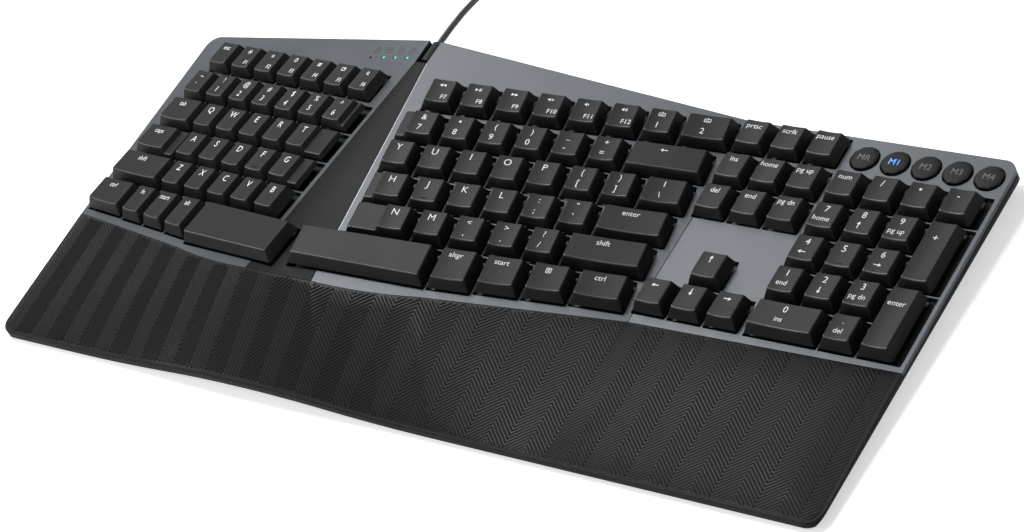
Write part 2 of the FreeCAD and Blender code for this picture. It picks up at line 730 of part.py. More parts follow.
def coil_route():
    """The coil's half turns from the top layer down, with points along each for measuring."""
    radii = coil_radii()
    point = Vector(coil_entry_x, coil_entry_y, coil_bottom + coil_layer_rise * (coil_layers - 1))
    lead = point - BACK * (2 * cable_radius)
    edges = [Part.LineSegment(lead, point).toShape()]
    samples = []
    side = -1
    for i, r in enumerate(radii):
        climb = 0.0
        if i % coil_steps == 0 and 0 < i < coil_steps * coil_layers:
            climb = -coil_layer_rise
        elif i == len(radii) - 1:
            climb = plug_axis_height - coil_bottom
        end = Vector(point.x + 2 * side * r, point.y, point.z + climb)
        centre = (point + end) * 0.5
        crest = centre - BACK * (side * r)
        edges.append(Part.Arc(point, crest, end).toShape())
        for k in range(24):
            a = math.pi * k / 24
            samples.append(centre + (point - centre) * math.cos(a) + (crest - centre) * math.sin(a))
        point = end
        side = -side
    last = point - BACK * (2 * cable_radius * side)
    edges.append(Part.LineSegment(point, last).toShape())
    return edges, math.pi * sum(radii) + 4 * cable_radius, samples, lead, last


def least_gap(samples):
    """The least gap between stretches of the coil that lie half a turn or more apart."""
    least = BIG
    for n, p in enumerate(samples):
        for q in samples[n + 24:]:
            least = min(least, (p - q).Length)
    return least - 2 * cable_radius


coil_edges, coil_length, coil_samples, coil_start, coil_end = coil_route()
exit_point = table_place.multVec(Vector(0, back_edge, -grommet_drop))
exit_way = table_place.Rotation.multVec(BACK)
route = [exit_point, exit_point + exit_way * cable_first_run]
route += [Vector(*point) for point in cable_middle]
route += [coil_start - BACK * cable_last_run, coil_start]
free_edges, free_length = rounded_route(route)
table_parts["cable"] = [tube(free_edges)]
table_parts["cable_coil"] = [tube(coil_edges)]
section = math.pi * cable_radius ** 2
for name, length in (("cable", free_length), ("cable_coil", coil_length)):
    print(name, "length", round(length, 1), "volume share", round(table_parts[name][0].Volume / section / length, 4))
print("coil gap", round(least_gap(coil_samples), 2), "turns", len(coil_radii()) / 2)

# Strap round the coil's far side
near = [p for p in coil_samples
        if p.x < coil_entry_x - coil_outer_radius and abs(p.y - coil_entry_y) < strap_width]
around = cable_radius + strap_gap
x0, x1 = min(p.x for p in near) - around, max(p.x for p in near) + around
z0, z1 = min(p.z for p in near) - around, max(p.z for p in near) + around
y0, y1 = coil_entry_y - strap_width / 2, coil_entry_y + strap_width / 2
t = strap_thickness
strap = box(x0 - t, x1 + t, y0, y1, z0 - t, z1 + t).cut(box(x0, x1, y0, y1, z0, z1))
table_parts["cable_tie"] = [strap]


# Plug at the coil's free end
def along_plug(start, y0, y1, width, height):
    return box(start.x - width / 2, start.x + width / 2, start.y + y0, start.y + y1,
               start.z - height / 2, start.z + height / 2)


grip_end = plug_nose_length + plug_length
shell_end = grip_end + shell_length
nose = Part.makeCylinder(plug_nose_radius, plug_nose_length, coil_end, BACK)
grip = along_plug(coil_end, plug_nose_length, grip_end, plug_width, plug_thickness)
table_parts["usb_plug_body"] = [nose.fuse(grip).removeSplitter()]
shell = along_plug(coil_end, grip_end, shell_end, shell_width, shell_height)
inside = along_plug(coil_end, grip_end, shell_end, shell_width - 2 * shell_wall, shell_height - 2 * shell_wall)
tongue_lift = UP * ((shell_height - tongue_thickness) / 2 - shell_wall)
tongue = along_plug(coil_end + tongue_lift, grip_end, shell_end - shell_wall, tongue_width, tongue_thickness)
table_parts["usb_plug_shell"] = [shell.cut(inside).fuse(tongue).removeSplitter()]

# Stand everything on the table, over the middle of its footprint
solids = {name: [moved(shape, table_place) for shape in shapes] for name, shapes in deck_parts.items()}
solids.update(table_parts)
footprint = solids["bottom_case"][0].optimalBoundingBox(True, False)
shift = Vector(-footprint.Center.x, -footprint.Center.y, 0)
print("shift", tuple(round(v, 3) for v in shift), "height", round(footprint.ZMax, 2))
print("route", [tuple(round(v, 2) for v in point + shift) for point in route])
for name, shapes in solids.items():
    shape = Part.makeCompound(shapes) if len(shapes) > 1 else shapes[0]
    shape.translate(shift)
    shape.exportStep("parts/" + name + ".step")
    if not shape.isValid():
        print("not valid:", name)
print("pieces", len(solids))
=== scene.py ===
import math

import bmesh
import bpy
from bpy.props import FloatProperty, FloatVectorProperty, IntProperty, PointerProperty
from mathutils import Matrix, Vector


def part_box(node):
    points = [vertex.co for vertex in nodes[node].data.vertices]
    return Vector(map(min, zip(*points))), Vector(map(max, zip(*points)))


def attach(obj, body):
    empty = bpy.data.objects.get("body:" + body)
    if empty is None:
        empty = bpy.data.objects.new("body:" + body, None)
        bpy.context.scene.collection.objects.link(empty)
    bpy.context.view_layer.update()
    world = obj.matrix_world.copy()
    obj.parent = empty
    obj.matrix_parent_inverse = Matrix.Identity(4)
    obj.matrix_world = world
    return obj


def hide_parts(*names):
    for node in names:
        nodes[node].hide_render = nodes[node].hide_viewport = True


bl_info = {
    "name": "Ergonomic Keyboard",
    "version": (1, 0, 0),
    "blender": (4, 5, 0),
    "location": "3D View > Sidebar > Keyboard",
    "description": "Dresses the split keyboard's frame with its caps, legends, ribbed rest and cable",
    "category": "Object",
}

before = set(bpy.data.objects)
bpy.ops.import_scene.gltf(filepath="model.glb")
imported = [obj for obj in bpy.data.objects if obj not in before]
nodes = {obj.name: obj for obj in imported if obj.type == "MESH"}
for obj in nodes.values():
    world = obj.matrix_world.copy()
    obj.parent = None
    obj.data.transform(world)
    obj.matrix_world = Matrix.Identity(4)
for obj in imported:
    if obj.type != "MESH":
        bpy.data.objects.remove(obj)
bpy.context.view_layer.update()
MM = 0.001

# Stance of the deck, as in the solids, in millimetres and degrees
DECK_PITCH = 2.2
TENT = 8.2
SPLAY = 7.7
BLOCK_HALF = 27.6
FOLD_X = 174.4
FOLD_Z = -FOLD_X * math.tan(math.radians(TENT))
NUMPAD_X = 66.7
NUMPAD_Y = -55.0
DECK_ORIGIN = Vector((-76.25, 40.495, 41.3))
PLATE_DROP = 5.6


def turned(angle, axis):
    return Matrix.Rotation(math.radians(angle), 4, axis)


DECK = Matrix.Translation(DECK_ORIGIN) @ turned(DECK_PITCH, "X")
SIDES = {
    "left": DECK @ turned(-TENT, "Y"),
    "right": DECK @ turned(TENT, "Y"),
    "numpad": DECK @ Matrix.Translation((FOLD_X, 0, FOLD_Z)),
}
BLOCKS = {
    "left": SIDES["left"] @ Matrix.Translation((-BLOCK_HALF, 0, 0)) @ turned(-SPLAY, "Z"),
    "right": SIDES["right"] @ Matrix.Translation((BLOCK_HALF, 0, 0)) @ turned(SPLAY, "Z"),
    "numpad": SIDES["numpad"] @ Matrix.Translation((NUMPAD_X, NUMPAD_Y, 0)),
}
FIRST_ROWS = {"left": -4, "right": -4, "numpad": 0}


# Sizes and colours that a user would change
def measure(name, about, metres):
    return FloatProperty(name=name, description=about, default=metres, unit="LENGTH")


def tint(name, about, colour):
    return FloatVectorProperty(name=name, description=about, default=colour, subtype="COLOR")


class KeyboardCapSizes(bpy.types.PropertyGroup):
    pitch: measure("Key pitch", "Distance from one key to the next", 0.01905)
    gap: measure("Cap gap", "Gap between two caps at their skirts", 0.00175)
    skirt: measure("Skirt depth", "How far a skirt hangs below the home row's tops", 0.0048)
    edge: measure("Edge radius", "Rounding of a cap's upper edge", 0.00055)
    dish: measure("Dish depth", "Depth of the hollow along a cap's top", 0.00045)
    step: measure("Step", "Drop from a stepped key's raised part to its shelf", 0.0025)
    letter: measure("Letter size", "Size of a single letter on a cap", 0.0052)
    word: measure("Word size", "Size of the words on caps", 0.0040)


class KeyboardRestSizes(bpy.types.PropertyGroup):
    band: measure("Band width", "Width of one band of slanting ribs", 0.0108)
    pitch: measure("Rib pitch", "Distance from one rib to the next", 0.0021)
    height: measure("Rib height", "Height of a rib above the cover", 0.00042)
    slant: FloatProperty(name="Rib slant", default=0.9,
                         description="Rise of a rib across its band, as a share of the width")


class KeyboardCableSizes(bpy.types.PropertyGroup):
    diameter: measure("Diameter", "Outside diameter of the cable", 0.0032)
    length: measure("Length", "Whole length of the cable with its coil", 1.83)
    points: IntProperty(name="Points per half turn", default=8, min=6,
                        description="Control points on each half turn of the coil")


class KeyboardFinishes(bpy.types.PropertyGroup):
    caps: tint("Caps", "Colour of the key caps", (0.0085, 0.0085, 0.0088))
    deck: tint("Deck", "Colour of the deck plates", (0.050, 0.056, 0.064))
    wedge: tint("Wedge", "Colour of the middle strip", (0.0055, 0.0056, 0.0060))
    case: tint("Case", "Colour of the bottom case", (0.006, 0.006, 0.0065))
    rest: tint("Palm rest", "Colour of the ribbed cover", (0.007, 0.007, 0.0074))
    legend: tint("Legends", "Colour of the letters", (0.86, 0.87, 0.88))
    glow: tint("Lit button", "Colour of the lit button's letters", (0.01, 0.25, 1.0))
    lamp: tint("Lamps", "Colour of the lit lamps", (0.02, 0.75, 0.62))


# Small helpers for node trees and finishes
def fill(tree, node, given):
    """Each input named or numbered in given takes its value or its link."""
    for socket, value in given.items():
        if isinstance(value, bpy.types.NodeSocket):
            tree.links.new(value, node.inputs[socket])
        else:
            node.inputs[socket].default_value = value
    return node


def added(tree, kind, given):
    """A new node with its inputs filled."""
    return fill(tree, tree.nodes.new(kind), given)


class Sums:
    """Chains of arithmetic nodes in one tree."""

    def __init__(self, tree):
        self.tree = tree

    def __call__(self, operation, *values):
        node = added(self.tree, "ShaderNodeMath", dict(enumerate(values)))
        node.operation = operation
        return node.outputs[0]


def new_material(name):
    """A material with its tree, its shader and the piece's own coordinates."""
    material = bpy.data.materials.new(name)
    material.use_nodes = True
    tree = material.node_tree
    shader = next(n for n in tree.nodes if n.type == "BSDF_PRINCIPLED")
    return material, tree, shader, tree.nodes.new("ShaderNodeTexCoord").outputs["Object"]


def grain(tree, place, scale, detail=4.0, rough=0.55):
    """A fine noise over the piece's own coordinates."""
    given = {"Scale": scale, "Detail": detail, "Roughness": rough, "Vector": place}
    return added(tree, "ShaderNodeTexNoise", given).outputs["Fac"]


def spread(tree, value, low, high, start=0.35, end=0.65):
    """A value stretched onto a new range."""
    given = {"Value": value, "From Min": start, "From Max": end, "To Min": low, "To Max": high}
    return added(tree, "ShaderNodeMapRange", given).outputs["Result"]


def two_tones(tree, value, dark, light):
    """A colour that goes softly from dark to light."""
    ramp = added(tree, "ShaderNodeValToRGB", {"Fac": value})
    for end, place, tone in zip(ramp.color_ramp.elements, (0.38, 0.62), (dark, light)):
        end.position = place
        end.color = (*tone, 1)
    return ramp.outputs["Color"]


def moulded(name, colour, roughness, specular, variety, grain_scale, grain_depth,
            metallic=0.0, cloud_scale=22.0, edge=0.0):
    """Moulded or painted surface: fine grain, faint clouds of tone and polish, edges that catch light."""
    material, tree, shader, place = new_material(name)
    sums = Sums(tree)
    fine = grain(tree, place, grain_scale, 2.0, 0.6)
    mixed = sums("MULTIPLY_ADD", grain(tree, place, cloud_scale, 3.0), 0.5, sums("MULTIPLY", fine, 0.5))
    dark, light = ([c * (1 + way * variety) for c in colour] for way in (-1, 1))
    bump = {"Strength": 0.5, "Distance": grain_depth, "Height": fine}
    if edge:
        broken = added(tree, "ShaderNodeBevel", {"Radius": edge * MM})
        broken.samples = 6
        bump["Normal"] = broken.outputs["Normal"]
    fill(tree, shader, {"Base Color": two_tones(tree, mixed, dark, light),
                        "Roughness": spread(tree, mixed, roughness - 0.05, roughness + 0.05),
                        "Metallic": metallic, "Specular IOR Level": specular,
                        "Normal": added(tree, "ShaderNodeBump", bump).outputs["Normal"]})
    return material


def glowing(name, colour, strength):
    """A small lit surface that fades a little from place to place."""
    material, tree, shader, place = new_material(name)
    tone = two_tones(tree, grain(tree, place, 900.0), [c * 0.85 for c in colour], colour)
    fill(tree, shader, {"Base Color": tone, "Emission Color": tone, "Emission Strength": strength,
                        "Roughness": 0.3})
    return material


FINISHES = {}
# How much lighter the caps' front edges are painted: a painted highlight
PAINTED_HIGHLIGHT_GAIN = 2.4


def finishes():
    """Every finish on the keyboard, made once."""
    if FINISHES:
        return FINISHES
    c = bpy.context.scene.keyboard_finishes
    # the caps' front edges get a lighter, glossier copy of the cap colour; the lighter colour is a painted
    # highlight
    painted_highlight = [v * PAINTED_HIGHLIGHT_GAIN for v in c.caps]
    # slot, name, colour, roughness, specular, variety, grain scale and depth, metal, cloud scale, edge in mm
    for slot, name, colour, *looks in (
            ("key_black", "key_cap_plastic", c.caps, 0.46, 0.12, 0.12, 3200.0, 0.000022),
            ("key_brim", "key_cap_front_edge", painted_highlight, 0.32, 0.40, 0.12, 3200.0, 0.00001),
            ("deck_grey", "deck_plate_metal", c.deck, 0.42, 0.35, 0.24, 3000.0, 0.00004, 0.4, 14.0, 0.35),
            # a lighter metal for the strip along the right deck's edge: a painted highlight
            ("edge_metal", "cut_edge_metal", (0.17, 0.18, 0.195), 0.40, 0.4, 0.06, 2600.0, 0.00001, 0.4),
            ("wedge_grey", "wedge_plastic", c.wedge, 0.44, 0.06, 0.10, 3600.0, 0.000018, 0.0, 22.0, 0.3),
            ("case_black", "case_plastic", c.case, 0.55, 0.10, 0.12, 2400.0, 0.00004),
            ("rest_black", "rest_cover", c.rest, 0.42, 0.12, 0.16, 2100.0, 0.00004),
            ("button_grey", "button_rubber", (0.007, 0.007, 0.0074), 0.50, 0.10, 0.12, 2600.0, 0.00003),
            ("board_dark", "board_lacquer", (0.006, 0.014, 0.010), 0.40, 0.3, 0.25, 420.0, 0.00005),
            ("switch_dark", "switch_nylon", (0.014, 0.014, 0.016), 0.46, 0.3, 0.12, 1900.0, 0.00003),
            ("screw_steel", "screw_steel", (0.42, 0.42, 0.43), 0.30, 0.5, 0.10, 1700.0, 0.00002, 1.0),
            ("rubber_black", "foot_rubber", (0.022, 0.022, 0.022), 0.80, 0.3, 0.18, 1500.0, 0.00008),
            ("cable_black", "cable_jacket", (0.011, 0.011, 0.012), 0.38, 0.45, 0.12, 1600.0, 0.00002),
            ("tie_black", "tie_strap", (0.016, 0.016, 0.017), 0.70, 0.3, 0.20, 1300.0, 0.00010),
            ("plug_steel", "plug_shell_metal", (0.58, 0.58, 0.59), 0.26, 0.5, 0.08, 1400.0, 0.00002, 1.0),
            ("legend", "legend_print", c.legend, 0.55, 0.3, 0.05, 3000.0, 0.00001),
            ("dark_legend", "lamp_sign_print", (0.02, 0.02, 0.022), 0.55, 0.2, 0.08, 3000.0, 0.00001),
            ("dim_legend", "button_print", (0.14, 0.14, 0.145), 0.55, 0.3, 0.08, 3000.0, 0.00001),
            ("lamp_off", "lamp_unlit", (0.006, 0.006, 0.007), 0.25, 0.5, 0.15, 2500.0, 0.00001)):
        FINISHES[slot] = moulded(name, tuple(colour), *looks)
    FINISHES["lit_legend"] = glowing("button_glow", tuple(c.glow), 1.0)
    FINISHES["lamp_cyan"] = glowing("lamp_glow", tuple(c.lamp), 0.5)
    return FINISHES


# Small helpers for pieces
SHARP_EDGE = 32
MERGE_WITHIN = 2e-6


def placed(name, data):
    """A new object in the scene's own collection."""
    made = bpy.data.objects.new(name, data)
    bpy.context.scene.collection.objects.link(made)
    return made


def finished(rough, name):
    """The mesh that an object's modifiers make of it, in the object's stead."""
    mesh = bpy.data.meshes.new_from_object(rough.evaluated_get(bpy.context.evaluated_depsgraph_get()))
    bpy.data.objects.remove(rough)
    mesh.name = name
    return mesh


def mesh_of(name, points, faces):
    """A new mesh from points in metres and their faces."""
    mesh = bpy.data.meshes.new(name)
    mesh.from_pydata(points, [], faces)
    return mesh


def in_metres(place, points):
    """Points given in a place's millimetres, in the frame's metres."""
    return [tuple(place @ Vector(point) * MM) for point in points]


def merge(work):
    """Joins the loose triangles of a CAD node's mesh."""
    bmesh.ops.remove_doubles(work, verts=work.verts, dist=MERGE_WITHIN)


def put_in(points, faces, more, rings):
    """Adds one shape to the points and faces of several."""
    start = len(points)
    points += more
    faces += [tuple(start + k for k in ring) for ring in rings]


def dress(node, finish):
    """A CAD node that stays gets its finish in every slot."""
    data = nodes[node].data
    if not data.materials:
        data.materials.append(finishes()[finish])
    for i in range(len(data.materials)):
        data.materials[i] = finishes()[finish]


def piece(name, mesh, finish_names, body, replaced=()):
    """A finished piece, with its place in its mesh, riding on its body."""
    for finish in finish_names:
        mesh.materials.append(finishes()[finish])
    made = placed(name, mesh)
    if replaced:
        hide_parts(*replaced)
    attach(made, body)
    return made


def softened(node, name, finish, body, width, segments=2):
    """A merged copy of a CAD node with its sharp edges rounded, standing for the node."""
    mesh = nodes[node].data.copy()
    mesh.materials.clear()
    work = bmesh.new()
    work.from_mesh(mesh)
    merge(work)
    work.to_mesh(mesh)
    work.free()
    mesh.shade_smooth()
    rough = placed(name + "_rough", mesh)
    bevel = rough.modifiers.new("rounding", "BEVEL")
    bevel.width = width * MM
    bevel.segments = segments
    bevel.limit_method = "ANGLE"
    bevel.angle_limit = math.radians(SHARP_EDGE)
    bevel.use_clamp_overlap = True
    bevel.harden_normals = True
    return piece(name, finished(rough, name), [finish], body, (node,))


# Stage, light and camera, in metres: each lamp's place, aim, size and power
SOFT_LAMPS = {
    "key_light": ((-0.95, 0.55, 1.70), (0.0, 0.0, 0.0), (0.6, 0.6), 29.0),
    "fill_light": ((-1.4, -0.7, 0.8), (0.0, 0.0, 0.0), (1.0, 0.4), 9.0),
    "front_light": ((-0.8, -1.6, 0.35), (0.0, 0.0, 0.0), (1.6, 0.4), 4.0),
    "sheen_light": ((-1.1, 1.2, 1.25), (0.1, 0.0, 0.0), (0.9, 0.7), 8.0),
}
FLOOR_HALF = 6.0
FLOOR_GLOW = 0.55
FLOOR_FADE = (0.7, 1.6)
AIR_STRENGTH = 0.22
LENS = 110.56
CAMERA_PLACE = Vector((0.87222, -0.69603, 0.93909))
CAMERA_RIGHT = Vector((0.79177, 0.50010, -0.35070))
CAMERA_UP = Vector((-0.15491, 0.71979, 0.67668))
CAMERA_BACK = Vector((0.59085, -0.48145, 0.64738))


def light_panel(name, place, aim, size, power):
    """A soft oblong lamp that faces the keyboard."""
    lamp = bpy.data.lights.new(name, "AREA")
    lamp.shape = "RECTANGLE"
    lamp.size, lamp.size_y = size
    lamp.energy = power
    way = (Vector(aim) - Vector(place)).normalized()
    turn = way.to_track_quat("-Z", "Y").to_matrix().to_4x4()
    placed(name, lamp).matrix_world = Matrix.Translation(place) @ turn


def seen_white(tree, plain, white):
    """Chooses the white shader where the camera, gloss or glass looks straight at it."""
    rays = tree.nodes.new("ShaderNodeLightPath").outputs
    sums = Sums(tree)
    straight = sums("MAXIMUM", rays["Is Camera Ray"], rays["Is Glossy Ray"])
    straight = sums("MAXIMUM", straight, rays["Is Transmission Ray"])
    return added(tree, "ShaderNodeMixShader", {0: straight, 1: plain, 2: white}).outputs[0]


class KEYBOARD_OT_stage(bpy.types.Operator):
    """Make the pale floor, the soft lamps, the world and the camera"""
    bl_idname = "keyboard.make_stage"
    bl_label = "Stage"

    def execute(self, context):
        scene = context.scene
        scene.view_settings.view_transform = "Standard"
        scene.world = bpy.data.worlds.new("studio_air")
        scene.world.use_nodes = True
        tree = scene.world.node_tree
        tree.nodes.clear()
        air = added(tree, "ShaderNodeBackground", {"Color": (0.93, 0.96, 1.0, 1), "Strength": AIR_STRENGTH})
        white = added(tree, "ShaderNodeBackground", {"Color": (1, 1, 1, 1), "Strength": 1.0})
        both = seen_white(tree, air.outputs[0], white.outputs[0])
        added(tree, "ShaderNodeOutputWorld", {"Surface": both})
        self.lay_floor()
        for name, settings in SOFT_LAMPS.items():
            light_panel(name, *settings)

        lens = bpy.data.cameras.new("photo_camera")
        lens.lens = LENS
        lens.sensor_width = 36.0
        lens.sensor_fit = "HORIZONTAL"
        lens.clip_end = 50.0
        scene.camera = placed("photo_camera", lens)
        turn = Matrix((CAMERA_RIGHT, CAMERA_UP, CAMERA_BACK)).transposed().to_4x4()
        scene.camera.matrix_world = Matrix.Translation(CAMERA_PLACE) @ turn
        return {"FINISHED"}

    def lay_floor(self):
        """A pale sheet of paper that keeps the shadow near the keyboard and fades to white far off."""
        corners = [(x * FLOOR_HALF, y * FLOOR_HALF, 0) for x, y in ((-1, -1), (1, -1), (1, 1), (-1, 1))]
        floor = mesh_of("studio_floor", corners, [(0, 1, 2, 3)])
        material, tree, shader, place = new_material("studio_paper")
        tone = two_tones(tree, grain(tree, place, 3.0), (0.90, 0.90, 0.90), (0.92, 0.92, 0.92))
        fill(tree, shader, {"Base Color": tone, "Roughness": 0.95, "Specular IOR Level": 0.0})
        glow = added(tree, "ShaderNodeEmission", {"Strength": FLOOR_GLOW})
        near = added(tree, "ShaderNodeAddShader", {0: shader.outputs[0], 1: glow.outputs[0]})
        distance = added(tree, "ShaderNodeVectorMath", {0: place})
        distance.operation = "LENGTH"
        fade = spread(tree, distance.outputs["Value"], 0.0, 1.0, *FLOOR_FADE)
        far = tree.nodes.new("ShaderNodeEmission")
        paper = added(tree, "ShaderNodeMixShader", {0: fade, 1: near.outputs[0], 2: far.outputs[0]})
        end = next(n for n in tree.nodes if n.type == "OUTPUT_MATERIAL")
        fill(tree, end, {"Surface": seen_white(tree, shader.outputs[0], paper.outputs[0])})
        floor.materials.append(material)
        placed("studio_floor", floor)


# Cable: its free stretch, then the coil behind the keyboard, in millimetres
CABLE_ROUTE = [(-76.25, 99.31, 34.35), (-76.25, 119.29, 35.12), (-80.25, 146.5, 27.0), (-90.25, 174.5, 14.15),
               (-90.25, 197.3, 14.15)]
COIL_START = (-90.25, 200.495, 14.15)
COIL_SPACING = 3.75
COIL_RISE = 3.75
COIL_RADIUS = 24.0
COIL_STEPS = 6
COIL_LAYERS = 4
COIL_EXTRA = 3
PLUG_RISE = 1.3
PLUG_RUN = 3.2


def coil_turns(per_half):
    """The coil's control points: half turns that go in and out through the layers, then outwards."""
    points = []
    x, y, z = COIL_START
    side = -1
    last = COIL_STEPS * COIL_LAYERS
    for i in range(last + COIL_EXTRA + 1):
        phase = i % (2 * COIL_STEPS)
        inward = min(phase, 2 * COIL_STEPS - phase) if i <= last else last - i
        radius = COIL_RADIUS - inward * COIL_SPACING / 2
        climb = 0.0
        if i % COIL_STEPS == 0 and 0 < i < last:
            climb = -COIL_RISE
        elif i == last + COIL_EXTRA:
            climb = PLUG_RISE
        centre = x + side * radius
        for k in range(per_half):
            a = math.pi * (k + 0.5) / per_half
            points.append((centre - side * radius * math.cos(a), y - side * radius * math.sin(a),
                           z + climb * (1 - math.cos(a)) / 2))
        x += 2 * side * radius
        z += climb
        side = -side
    return points + [(x, y, z), (x, y + PLUG_RUN, z)]


class KEYBOARD_OT_cable(bpy.types.Operator):
    """Lay the cable from the case's back to its coil and plug"""
    bl_idname = "keyboard.make_cable"
    bl_label = "Cable"

    def execute(self, context):
        sizes = context.scene.keyboard_cable
        points = CABLE_ROUTE + coil_turns(sizes.points)
        line = bpy.data.curves.new("cable", "CURVE")
        line.dimensions = "3D"
        line.bevel_depth = sizes.diameter / 2
        line.bevel_resolution = 3
        line.resolution_u = 3
        line.use_fill_caps = True
        spline = line.splines.new("NURBS")
        spline.points.add(len(points) - 1)
        for slot, point in zip(spline.points, points):
            slot.co = (*(Vector(point) * MM), 1.0)
        spline.order_u = 3
        spline.use_endpoint_u = True
        line.materials.append(finishes()["cable_black"])
        lead = placed("data_cable", line)
        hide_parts("cable", "cable_coil")
        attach(lead, "base")
        dress("cable_grommet", "rubber_black")
        strap = softened("cable_tie", "coil_strap", "tie_black", "base", 0.35)
        grip = softened("usb_plug_body", "plug_grip", "cable_black", "base", 0.9, 3)
        dress("usb_plug_shell", "plug_steel")
        return {"FINISHED"}


# Key layout: node, left and right in key pitches, row, legend, raised part, front reach in mm, rows filled
def cap(node, x0, x1, row, legend="", raised=None, reach=(0.0, 0.0), tall=1):
    """One cap; where no raised part is given, it is raised all over."""
    return {"node": node, "x0": x0, "x1": x1, "row": row, "legend": legend,
            "raised": raised or (x0, x1), "reach": reach, "tall": tall}


def caps(node, start, row, legends):
    """A run of caps one pitch wide, one for each legend."""
    return [cap(node, start + i, start + i + 1, row, legend) for i, legend in enumerate(legends)]


def between(node, row, edges, legends, reaches):
    """Caps side by side, each between two of the edges."""
    return [cap(node, x0, x1, row, legend, reach=reach)
            for x0, x1, legend, reach in zip(edges, edges[1:], legends, reaches)]


ROW_RISE = {5: 0.3, 4: 0.3, 3: 0.2, 2: 0.0, 1: 0.9, 0: 0.7}
FUNCTION_SHIFT = 0.071
NAV = -3.59
LAYOUT = {
    "left": (
        caps("escape_key", -6.46, 5, ["esc"])
        + caps("left_function_keys", -5.46, 5,
               ["*sun|F1", "*dim|F2", "*gauge|F3", "*rows|F4", "*window|F5", "*search|F6"])
        + caps("left_number_keys", -6.5, 4, ["~|`", "!|1", "@|2", "#|3", "$|4", "%|5"])
        + [cap("left_number_keys", -0.5, 0.62, 4, "^|6", (-0.5, 0.5)), cap("tab_key", -6.53, -5.02, 3, "tab")]
        + caps("left_upper_letter_keys", -5.02, 3, list("QWER"))
        + [cap("left_upper_letter_keys", -1.02, 0.62, 3, "T", (-1.02, -0.02)),
           cap("caps_lock_key", -6.53, -4.75, 2, "caps", (-6.53, -5.07))]
        + caps("left_home_letter_keys", -4.75, 2, list("ASDF"))
        + [cap("left_home_letter_keys", -0.75, 0.62, 2, "G", (-0.75, 0.25)),
           cap("left_shift_key", -6.53, -4.29, 1, "shift")]
        + caps("left_lower_letter_keys", -4.29, 1, list("ZXCVB"))
        + between("left_modifier_keys", 0, (-6.5, -4.88, -3.90, -2.91, -1.92),
                  ["ctrl", "fn", "start", "alt"], [(0.4, 1.2), (1.7, 2.3), (2.3, 2.9), (3.2, 4.0)])
        + [cap("left_space_bar", -1.92, 1.77, 0, reach=(5.9, 5.2))]
    ),
    "right": (
        caps("right_function_keys", -0.45, 5,
             ["*rewind|F7", "*play|F8", "*forward|F9", "*mute|F10", "*quiet|F11", "*loud|F12", "*mode|1"])
        + [cap("right_function_keys", 6.55, 7.98, 5, "*mode|2"),
           cap("right_number_keys", -0.75, 0.5, 4, "&|7", (-0.5, 0.5))]
        + caps("right_number_keys", 0.5, 4, ["*star|8", "(|9", ")|0", "_|-", "+|="])
        + [cap("backspace_key", 5.5, 7.72, 4, "*left")]
        + caps("right_upper_letter_keys", -0.75, 3, ["Y", "U", "I", "O", "P", "{|[", "}|]"])
        + [cap("right_upper_letter_keys", 6.25, 7.58, 3, "*bar|\\"),
           cap("right_home_letter_keys", -0.75, 0.5, 2, "H", (-0.5, 0.5))]
        + caps("right_home_letter_keys", 0.5, 2, ["J", "K", "L", ":|;", "\"|'"])
        + [cap("enter_key", 5.5, 7.45, 2, "enter"),
           cap("right_lower_letter_keys", -0.75, 1.04, 1, "N", (0.04, 1.04))]
        + caps("right_lower_letter_keys", 1.04, 1, ["M", "<|,", ">|.", "?|/"])
        + [cap("right_shift_key", 5.04, 7.31, 1, "shift"),
           cap("right_space_bar", -1.87, 2.02, 0, reach=(2.9, 4.3))]
        + between("right_modifier_keys", 0, (2.02, 3.24, 4.475, 5.70, 7.18),
                  ["altgr", "start", "*menu", "ctrl"], [(4.0, 3.4), (2.3, 1.7), (1.2, 0.6), (0.0, 0.0)])
    ),
    "numpad": (
        caps("system_keys", NAV, 5, ["prtsc", "scrlk", "pause"])
        + caps("navigation_keys", NAV, 4, ["ins", "home", "pg up"])
        + caps("navigation_keys", NAV, 3, ["del", "end", "pg dn"])
        + caps("up_arrow_key", NAV + 1, 1, ["*up"])
        + caps("left_arrow_key", NAV, 0, ["*left"])
        + caps("down_arrow_key", NAV + 1, 0, ["*down"])
        + caps("right_arrow_key", NAV + 2, 0, ["*right"])
        + caps("numpad_small_keys", -0.5, 4, ["num", "/", "*star", "-"])
        + caps("numpad_small_keys", -0.5, 3, ["7|home", "8|*up", "9|pg up"])
        + caps("numpad_small_keys", -0.5, 2, ["4|*left", "5", "6|*right"])
        + caps("numpad_small_keys", -0.5, 1, ["1|end", "2|*down", "3|pg dn"])
        + caps("numpad_small_keys", 1.5, 0, [".|del"])
        + [cap("numpad_zero_key", -0.5, 1.5, 0, "0|ins"),
           cap("numpad_plus_key", 2.5, 3.5, 2, "+", tall=2),
           cap("numpad_enter_key", 2.5, 3.5, 0, "enter", tall=2)]
    ),
}
# Shape of a cap, in millimetres and degrees
SIDE_SLOPE = 2.4
FRONT_SLOPE = 2.6
BACK_SLOPE = 1.2
CAP_WALL = 1.0
CAP_ROOF = 1.2
CAP_CORNER = 1.0
STEM = 2.0
STEM_END = -5.4
STEM_GRIP = 0.3
COLUMN_WIDTH = 2.2
SMALLEST_CORNER = 0.2
CORNER_TURNS = (0, math.pi / 6, math.pi / 3, math.pi / 2)
EDGE_TURNS = (0, 30, 60, 90)
EDGE_DEPTH = 0.8
SHELF_LAP = 0.1
SHARP_CAP = 36
LEGEND_LIFT = 0.05
BARRED = ("F", "J", "5")
BAR_HALF_X = 1.9
BAR_HALF_Y = 0.35
BAR_FROM_FRONT = 1.7
BAR_RISE = 0.30
BAR_DRAW = 0.18
BOX_FACES = ((3, 2, 1, 0), (4, 5, 6, 7), (0, 1, 5, 4), (1, 2, 6, 5), (2, 3, 7, 6), (3, 0, 4, 7))


